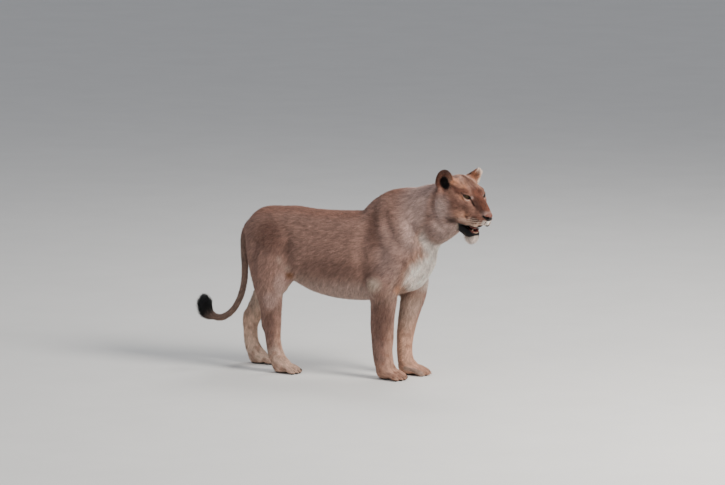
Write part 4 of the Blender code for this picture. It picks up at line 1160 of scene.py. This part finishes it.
def grow_coat(points, tris, normals, material):
    """Tufts spread over the skin, denser where they are finer, one piece to each region."""
    rng = np.random.default_rng(7)
    a, b, c = (points[tris[:, k]] for k in range(3))
    area = norms(np.cross(b - a, c - a)) / 2
    middle = (a + b + c) / 3
    n = normals[tris].mean(axis=1)
    n /= norms(n)[:, None]
    wanted = area * hair(middle, n)[3] * CROWD
    count = np.floor(wanted + rng.random(len(wanted))).astype(int)
    which = np.repeat(np.arange(len(tris)), count)
    u, v = rng.random(len(which)), rng.random(len(which))
    u, v = np.where(u + v > 1, 1 - u, u), np.where(u + v > 1, 1 - v, v)
    roots = a[which] + u[:, None] * (b - a)[which] + v[:, None] * (c - a)[which]
    n = normals[tris[which]]
    n = n[:, 0] * (1 - u - v)[:, None] + n[:, 1] * u[:, None] + n[:, 2] * v[:, None]
    n /= norms(n)[:, None]
    length, width, steep, _ = hair(roots, n)
    way = lie(roots, n)
    turn = rng.normal(0, 0.16, len(roots))[:, None]
    way = way * np.cos(turn) + np.cross(n, way) * np.sin(turn)
    colour = coat_colour(roots, n) * np.exp(rng.normal(0, 0.17, len(roots)))[:, None]
    length = length * rng.uniform(0.7, 1.15, len(roots))
    steep = steep * rng.uniform(0.55, 1.3, len(roots))
    names = region(roots)
    tip = roots[:, 2] + length * (way[:, 2] * np.cos(steep) + n[:, 2] * np.sin(steep))
    names = np.where((tip < 0.002) | (roots[:, 2] < 0.003), "", names)
    made = []
    for name in np.unique(names[names != ""]):
        for levels, kind in ((1, "coat_"), (2, "locks_")):
            pick = np.flatnonzero((names == name) & ((length > LOCK) == (levels == 2)))
            if len(pick) < 50:
                continue
            ob = tuft_mesh(kind + name, roots[pick], n[pick], way[pick], length[pick], width[pick],
                           steep[pick], colour[pick], levels, rng)
            ob.data.materials.append(material)
            made.append(ob)
    return made


# ---------------------------------------------------------------- materials
def fill(tree, node, inputs):
    """Give a node's inputs their values. A socket given as a value is linked."""
    for key, value in inputs.items():
        if isinstance(value, bpy.types.NodeSocket):
            tree.links.new(value, node.inputs[key])
        else:
            node.inputs[key].default_value = value


def add(tree, kind, inputs, **settings):
    """The outputs of a new node."""
    made = tree.nodes.new(kind)
    for key, value in settings.items():
        setattr(made, key, value)
    fill(tree, made, inputs)
    return made.outputs


def new_material(name, roughness, specular=0.35, sheen=0.0, coat=0.0, subsurface=0.0):
    made = bpy.data.materials.new(name)
    made.use_nodes = True
    shader = made.node_tree.nodes["Principled BSDF"]
    fill(made.node_tree, shader, {"Roughness": roughness, "Specular IOR Level": specular,
                                  "Sheen Weight": sheen, "Sheen Roughness": 0.5, "Coat Weight": coat,
                                  "Coat Roughness": 0.04, "Subsurface Weight": subsurface,
                                  "Subsurface Scale": 0.004})
    return made, made.node_tree, shader


def speckled(tree, source, size, low, high, stretch=None):
    """The source colour times a fine noise between low and high, and that noise."""
    at = add(tree, "ShaderNodeTexCoord", {})["Object"]
    if stretch:
        at = add(tree, "ShaderNodeMapping", {"Scale": stretch, "Vector": at})["Vector"]
    grain = add(tree, "ShaderNodeTexNoise", {"Scale": 1 / size, "Detail": 3.0, "Roughness": 0.6,
                                             "Vector": at})["Fac"]
    span = add(tree, "ShaderNodeMapRange",
               {"From Min": 0.3, "From Max": 0.7, "To Min": low, "To Max": high, "Value": grain})["Result"]
    return add(tree, "ShaderNodeVectorMath", {0: source, "Scale": span}, operation="SCALE")["Vector"], grain


def fur_material():
    made, tree, shader = new_material("fur", 0.62, specular=0.22, sheen=0.12)
    hue = add(tree, "ShaderNodeAttribute", {}, attribute_name="coat")["Color"]
    fill(tree, shader, {"Base Color": speckled(tree, hue, 0.0035, 0.80, 1.20)[0]})
    return made


def skin_material():
    """Short hair between the tufts, and bare moist leather on nose, lips, lids and pads."""
    made, tree, shader = new_material("skin", 0.7, specular=0.20)
    hue = add(tree, "ShaderNodeAttribute", {}, attribute_name="coat")["Color"]
    bare = add(tree, "ShaderNodeAttribute", {}, attribute_name="bare")["Fac"]
    colour, grain = speckled(tree, hue, 0.0016, 0.72, 1.15)
    rough = add(tree, "ShaderNodeMapRange", {"To Min": 0.75, "To Max": 0.50, "Value": bare})["Result"]
    at = add(tree, "ShaderNodeTexCoord", {})["Object"]
    cells = add(tree, "ShaderNodeTexVoronoi", {"Scale": 700.0, "Vector": at},
                feature="DISTANCE_TO_EDGE")["Distance"]
    height = add(tree, "ShaderNodeMix", {"Factor": bare, "A": grain, "B": cells}, data_type="FLOAT")["Result"]
    bump = add(tree, "ShaderNodeBump", {"Strength": 0.45, "Distance": 0.0012, "Height": height})["Normal"]
    fill(tree, shader, {"Base Color": colour, "Roughness": rough, "Normal": bump})
    return made


def plain_material(name, colour, roughness, size, low, high, bump=0.0006, stretch=None, **shader_values):
    made, tree, shader = new_material(name, roughness, **shader_values)
    base = add(tree, "ShaderNodeRGB", {})[0]
    base.default_value = (*colour, 1)
    out, grain = speckled(tree, base, size, low, high, stretch)
    raised = add(tree, "ShaderNodeBump", {"Strength": 0.4, "Distance": bump, "Height": grain})["Normal"]
    fill(tree, shader, {"Base Color": out, "Normal": raised})
    return made


def eye_material():
    """Pupil, amber iris with fibres, dark ring and brown white, by distance from the gaze axis. The iris is
    darkened with painted shade.
    """
    made, tree, shader = new_material("eye", 0.30, specular=0.2, coat=0.35)
    at = add(tree, "ShaderNodeTexCoord", {})["Object"]
    split = add(tree, "ShaderNodeSeparateXYZ", {"Vector": at})
    flat = add(tree, "ShaderNodeCombineXYZ", {"X": split["Y"], "Y": split["Z"]})["Vector"]
    away = add(tree, "ShaderNodeVectorMath", {0: flat}, operation="LENGTH")["Value"]
    fibres = add(tree, "ShaderNodeTexNoise", {"Scale": 900.0, "Detail": 2.0, "Vector": at})["Fac"]
    shake = add(tree, "ShaderNodeMath", {0: fibres, 1: 0.0016, 2: away}, operation="MULTIPLY_ADD")["Value"]
    share = add(tree, "ShaderNodeMath", {0: shake, 1: 0.014}, operation="DIVIDE")["Value"]
    ramp = tree.nodes.new("ShaderNodeValToRGB")
    # The iris stops are darkened with painted shade over the eye.
    stops = ((0.0, rgb(4, 4, 4)), (0.34, rgb(5, 5, 4)), (0.38, rgb(56, 42, 22)), (0.52, rgb(100, 78, 40)),
             (0.68, rgb(66, 48, 26)), (0.76, rgb(24, 18, 12)), (0.86, rgb(60, 44, 36)),
             (1.0, rgb(90, 70, 60)))
    while len(ramp.color_ramp.elements) < len(stops):
        ramp.color_ramp.elements.new(0.5)
    for element, (place, colour) in zip(ramp.color_ramp.elements, stops):
        element.position = place
        element.color = (*colour, 1)
    fill(tree, ramp, {"Fac": share})
    fill(tree, shader, {"Base Color": ramp.outputs["Color"]})
    return made


# ---------------------------------------------------------------- eyes, mouth, claws and whiskers
def local_mesh(name, points, faces, place=None, material=None):
    """A mesh made in a local frame and put at its place in the part."""
    mesh = bpy.data.meshes.new(name)
    mesh.from_pydata([tuple(p) for p in points], [], [tuple(f) for f in faces])
    mesh.shade_smooth()
    mesh.materials.append(material)
    ob = bpy.data.objects.new(name, mesh)
    bpy.context.scene.collection.objects.link(ob)
    if place:
        ob.matrix_world = Matrix.Translation(Vector(-MIDDLE)) @ place.matrix()
    return ob


def around(sides):
    return np.linspace(0, 2 * np.pi, sides, endpoint=False)


def ring_faces(rings, sides, first=0):
    """Quads between rings of points that follow each other, from point first on."""
    pairs = [(first + ring * sides + i, first + ring * sides + (i + 1) % sides) for ring in range(rings - 1)
             for i in range(sides)]
    return [(a, b, b + sides, a + sides) for a, b in pairs]


def capped_faces(rings, sides):
    last = (rings - 1) * sides
    return [tuple(range(sides))[::-1], tuple(range(last, last + sides)), *ring_faces(rings, sides)]


def lathe(profile, sides):
    """Points and faces of a closed shape turned about X, from (x, radius) rows with both ends on X."""
    points = [(profile[0][0], 0, 0)]
    for x, r in profile[1:-1]:
        points += [(x, r * np.cos(a), r * np.sin(a)) for a in around(sides)]
    points.append((profile[-1][0], 0, 0))
    rings = len(profile) - 2
    last = 1 + (rings - 1) * sides
    faces = ring_faces(rings, sides, first=1)
    for i in range(sides):
        k = (i + 1) % sides
        faces += [(0, 1 + k, 1 + i), (last + i, last + k, len(points) - 1)]
    return points, faces


def make_eyes(material):
    """Eyeballs with a cornea that stands a little proud of the ball."""
    made = []
    for name, s in SIDES.items():
        profile = []
        for t in np.linspace(np.pi, 0, 40):
            r = (EYE_RADIUS - 0.6 + 1.2 * np.exp(-(t / 0.42) ** 2)) / MM
            profile.append((r * np.cos(t), r * np.sin(t)))
        ob = local_mesh("eyeball_" + name, *lathe(profile, 48), eye_place(s), material)
        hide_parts("eye_" + name)
        made.append(ob)
    return made


def horn(base, tip, radius, bend=(0, 0, 0), sides=8, rings=4):
    """Points and faces of a tooth or claw from base to tip, bowed along bend, all given in mm."""
    base, tip, bend = (np.asarray(v, float) / MM for v in (base, tip, bend))
    points = []
    for t in np.linspace(0, 1, rings):
        at = base + (tip - base) * t + bend * np.sin(np.pi * t) * 0.5
        ahead = unit(tip - base + bend * np.cos(np.pi * t) * np.pi * 0.5)
        a = unit(np.cross(ahead, (0.3, 0.9, 0.2)))
        b = np.cross(ahead, a)
        r = radius / MM * (1 - t ** 1.8) + 0.0004
        points += [at + r * (a * np.cos(w) + b * np.sin(w)) for w in around(sides)]
    return points, capped_faces(rings, sides)


def joined(name, parts, place, material):
    points, faces = [], []
    for p, f in parts:
        faces += [tuple(i + len(points) for i in face) for face in f]
        points += list(p)
    return local_mesh(name, [place.point(p) - MIDDLE for p in points], faces, material=material)


def make_teeth(material):
    lower, upper = [], []
    for s in SIDES.values():
        lower.append(horn((184, s * 16.5, -104), (190, s * 18, -74), 4.8, (-6, 0, 0), 10, 7))  # canines
        upper.append(horn((95, s * 19, -126), (92, s * 19.5, -146), 5.2, (5, 0, 0), 10, 7))
        for i in range(3):  # front teeth
            back, y = 2 * i, s * (3 + 5.2 * i)
            lower.append(horn((198 - back, y, -100), (200 - back, y, -91), 2.4))
            upper.append(horn((108 - back, y, -124), (107 - back, y, -136), 2.6))
        for i, tall in enumerate((4, 6, 8)):  # cheek teeth
            x, y = 150 - 20 * i, s * (26 + 5.5 * i)
            lower.append(horn((x, y, -102), (x + 1, y, -94 + tall), 4.2))
            upper.append(horn((x - 62, y + s * 6, -132), (x - 61, y + s * 6, -144 - tall), 5))
    return [joined("teeth_lower", lower, JAW, material), joined("teeth_upper", upper, HEAD, material)]


def make_tongue(material):
    """A flat tongue with a groove along it, lying in the lower jaw."""
    place = Place((0.132, 0, -0.0865), turned(pitch=-7), parent=JAW)
    rows, sides = 26, 20
    points = []
    for t in np.linspace(0, 1, rows):
        wide = 0.0165 * np.sqrt(max(1 - abs(2 * t - 1) ** 3.2, 0.0009))
        thick = 0.0062 * np.sqrt(max(1 - abs(2 * t - 1) ** 5, 0.004))
        for a in around(sides):
            y, z = wide * np.cos(a), thick * np.sin(a)
            if z > 0:
                z -= 0.0022 * np.exp(-(y / 0.0035) ** 2) * np.sin(np.pi * t)
            points.append((-0.056 + 0.111 * t, y, z + 0.0015 * np.sin(2.2 * np.pi * t)))
    ob = local_mesh("tongue_flesh", points, capped_faces(rows, sides), place, material)
    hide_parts("tongue")
    return ob


def make_claws(material):
    """The tips of the drawn-in claws, one to each toe."""
    made = []
    for (place, k), name in zip(PAWS, ("fore_right", "fore_left", "hind_right", "hind_left")):
        parts = []
        for across, ahead in TOES:
            x, y = (94 + ahead) * k, across * 1.10 * k
            parts.append(horn((x - 6, y, 22.5 * k), (x + 8.5, y, 11.5 * k), 3, (3, 0, 4), 10, 7))
        made.append(joined("claws_" + name, parts, place, material))
    return made


def make_whiskers(material):
    """Stiff hairs from the whisker pads and over the eyes, swept back along the face."""
    rng = np.random.default_rng(21)
    parts = []
    for s in SIDES.values():
        for row in range(3):
            for i in range(4):
                root = np.array((0.064 + 0.0140 * i, s * (0.051 - 0.003 * i), -0.104 - 0.009 * row))
                way = np.array((-0.92, s * (0.17 + 0.02 * i), -0.14 - 0.10 * row)) + rng.normal(0, 0.05, 3)
                parts.append(hair_strand(root, unit(way), 0.036 + 0.006 * (3 - i) + rng.uniform(0, 0.008)))
        for i in range(2):
            root = np.array((-0.010 - 0.010 * i, s * (0.052 + 0.006 * i), 0.024 - 0.002 * i))
            parts.append(hair_strand(root, unit((-0.75, s * 0.25, 0.45)), 0.026))
    return joined("whiskers", parts, HEAD, material)


def hair_strand(root, way, length, radius=0.00028):
    """Points and faces of a thin hair that droops away from its root."""
    points = []
    at = root - way * 0.004
    a = unit(np.cross(way, (0.1, 0.2, 1)))
    b = np.cross(way, a)
    steps = 6
    for i in range(steps + 1):
        r = radius * (1 - 0.8 * i / steps)
        points += [at + r * (a * np.cos(w) + b * np.sin(w)) for w in (0, 2.094, 4.189)]
        way = unit(way + np.array((-0.35, 0, -0.55)) * (0.05 + 0.03 * i))
        at = at + way * length / steps
    return points, capped_faces(steps + 1, 3)


# ---------------------------------------------------------------- stage, lights and camera
def make_stage():
    """A plain pale floor, wide enough to fill the view from every side."""
    rim = [(FLOOR_RADIUS * np.cos(a), FLOOR_RADIUS * np.sin(a), 0) for a in around(96)]
    pale = plain_material("floor", FLOOR, 0.85, 0.4, 0.98, 1.02, bump=0.0001, specular=0.2)
    local_mesh("floor", rim, [tuple(range(len(rim)))], material=pale)


def outward(azimuth, elevation):
    """The way from the animal to a viewer or a light; azimuth 0 is its right side."""
    a, e = np.radians((azimuth, elevation))
    return np.array((np.sin(a) * np.cos(e), -np.cos(a) * np.cos(e), np.sin(e)))


def put_facing(name, data, location, out):
    """A camera or light at location that looks back along out."""
    ob = bpy.data.objects.new(name, data)
    ob.location = Vector(location)
    ob.rotation_mode = "QUATERNION"
    ob.rotation_quaternion = Vector(out).to_track_quat("Z", "Y")
    bpy.context.scene.collection.objects.link(ob)
    return ob


def light(name, azimuth, elevation, distance, size, power, colour=(1, 1, 1)):
    lamp = bpy.data.lights.new(name, "AREA")
    lamp.shape = "DISK"
    lamp.size = size
    lamp.energy = power
    lamp.color = colour
    out = outward(azimuth, elevation)
    put_facing(name, lamp, out * distance + (0, 0, 0.5), out).visible_camera = False


def make_camera():
    """The photo's view, from the animal's right and a little ahead, from far off."""
    a = np.radians(VIEW_AZIMUTH)
    back = outward(VIEW_AZIMUTH, VIEW_ELEVATION)
    right = np.array((np.cos(a), np.sin(a), 0))
    foot = np.array((0, -0.117, 0.030)) - MIDDLE
    target = foot + right * (PHOTO[0] / 2 - FOOT_IN_PHOTO[0]) * PIXEL \
        + np.cross(back, right) * (FOOT_IN_PHOTO[1] - PHOTO[1] / 2) * PIXEL
    cam = bpy.data.cameras.new("camera")
    cam.sensor_width = 36
    cam.lens = 36 * VIEW_DISTANCE / (PHOTO[0] * PIXEL)
    cam.clip_end = 100
    bpy.context.scene.camera = put_facing("camera", cam, target + back * VIEW_DISTANCE, back)


def make_lights():
    world = bpy.data.worlds.new("studio")
    bpy.context.scene.world = world
    world.use_nodes = True
    fill(world.node_tree, world.node_tree.nodes["Background"],
         {"Color": (0.86, 0.90, 1.0, 1), "Strength": 0.42})
    light("key", 74, 34, 7, 3.0, 720, (1.0, 0.965, 0.92))
    light("fill", -25, 30, 8, 4.0, 85, (0.94, 0.97, 1.0))
    light("rim", 175, 52, 7, 3.0, 170)


def main():
    make_camera()
    make_stage()
    make_lights()
    points, tris = refined(*skin_surface())
    for rounds, relax in ((2, 0), (5, 0.35), (2, 0)):
        points = settled(points, tris, rounds, relax)
    n = normals_of(points, tris)
    skin = solid("skin", points, tris, coat_colour(points, n), extra={"bare": bareness(points)})
    skin.data.materials.append(skin_material())
    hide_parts(*[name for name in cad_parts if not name.startswith(("eye_", "tongue"))])
    coat = grow_coat(points, tris, n, fur_material())
    eyes = make_eyes(eye_material())
    teeth = make_teeth(plain_material("ivory", rgb(196, 170, 140), 0.30, 0.004, 0.85, 1.08, specular=0.5))
    tongue = make_tongue(plain_material("tongue_skin", rgb(142, 84, 74), 0.38, 0.0016, 0.82, 1.10, bump=0.001,
                                        specular=0.5, subsurface=0.2))
    claws = make_claws(plain_material("horn", rgb(70, 58, 48), 0.35, 0.003, 0.7, 1.2, stretch=(1, 4, 4)))
    whiskers = make_whiskers(plain_material("whisker", rgb(236, 230, 216), 0.4, 0.01, 0.9, 1.05))
    for piece in [skin, *coat, *eyes, *teeth, tongue, *claws, whiskers]:
        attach(piece, "root")


main()
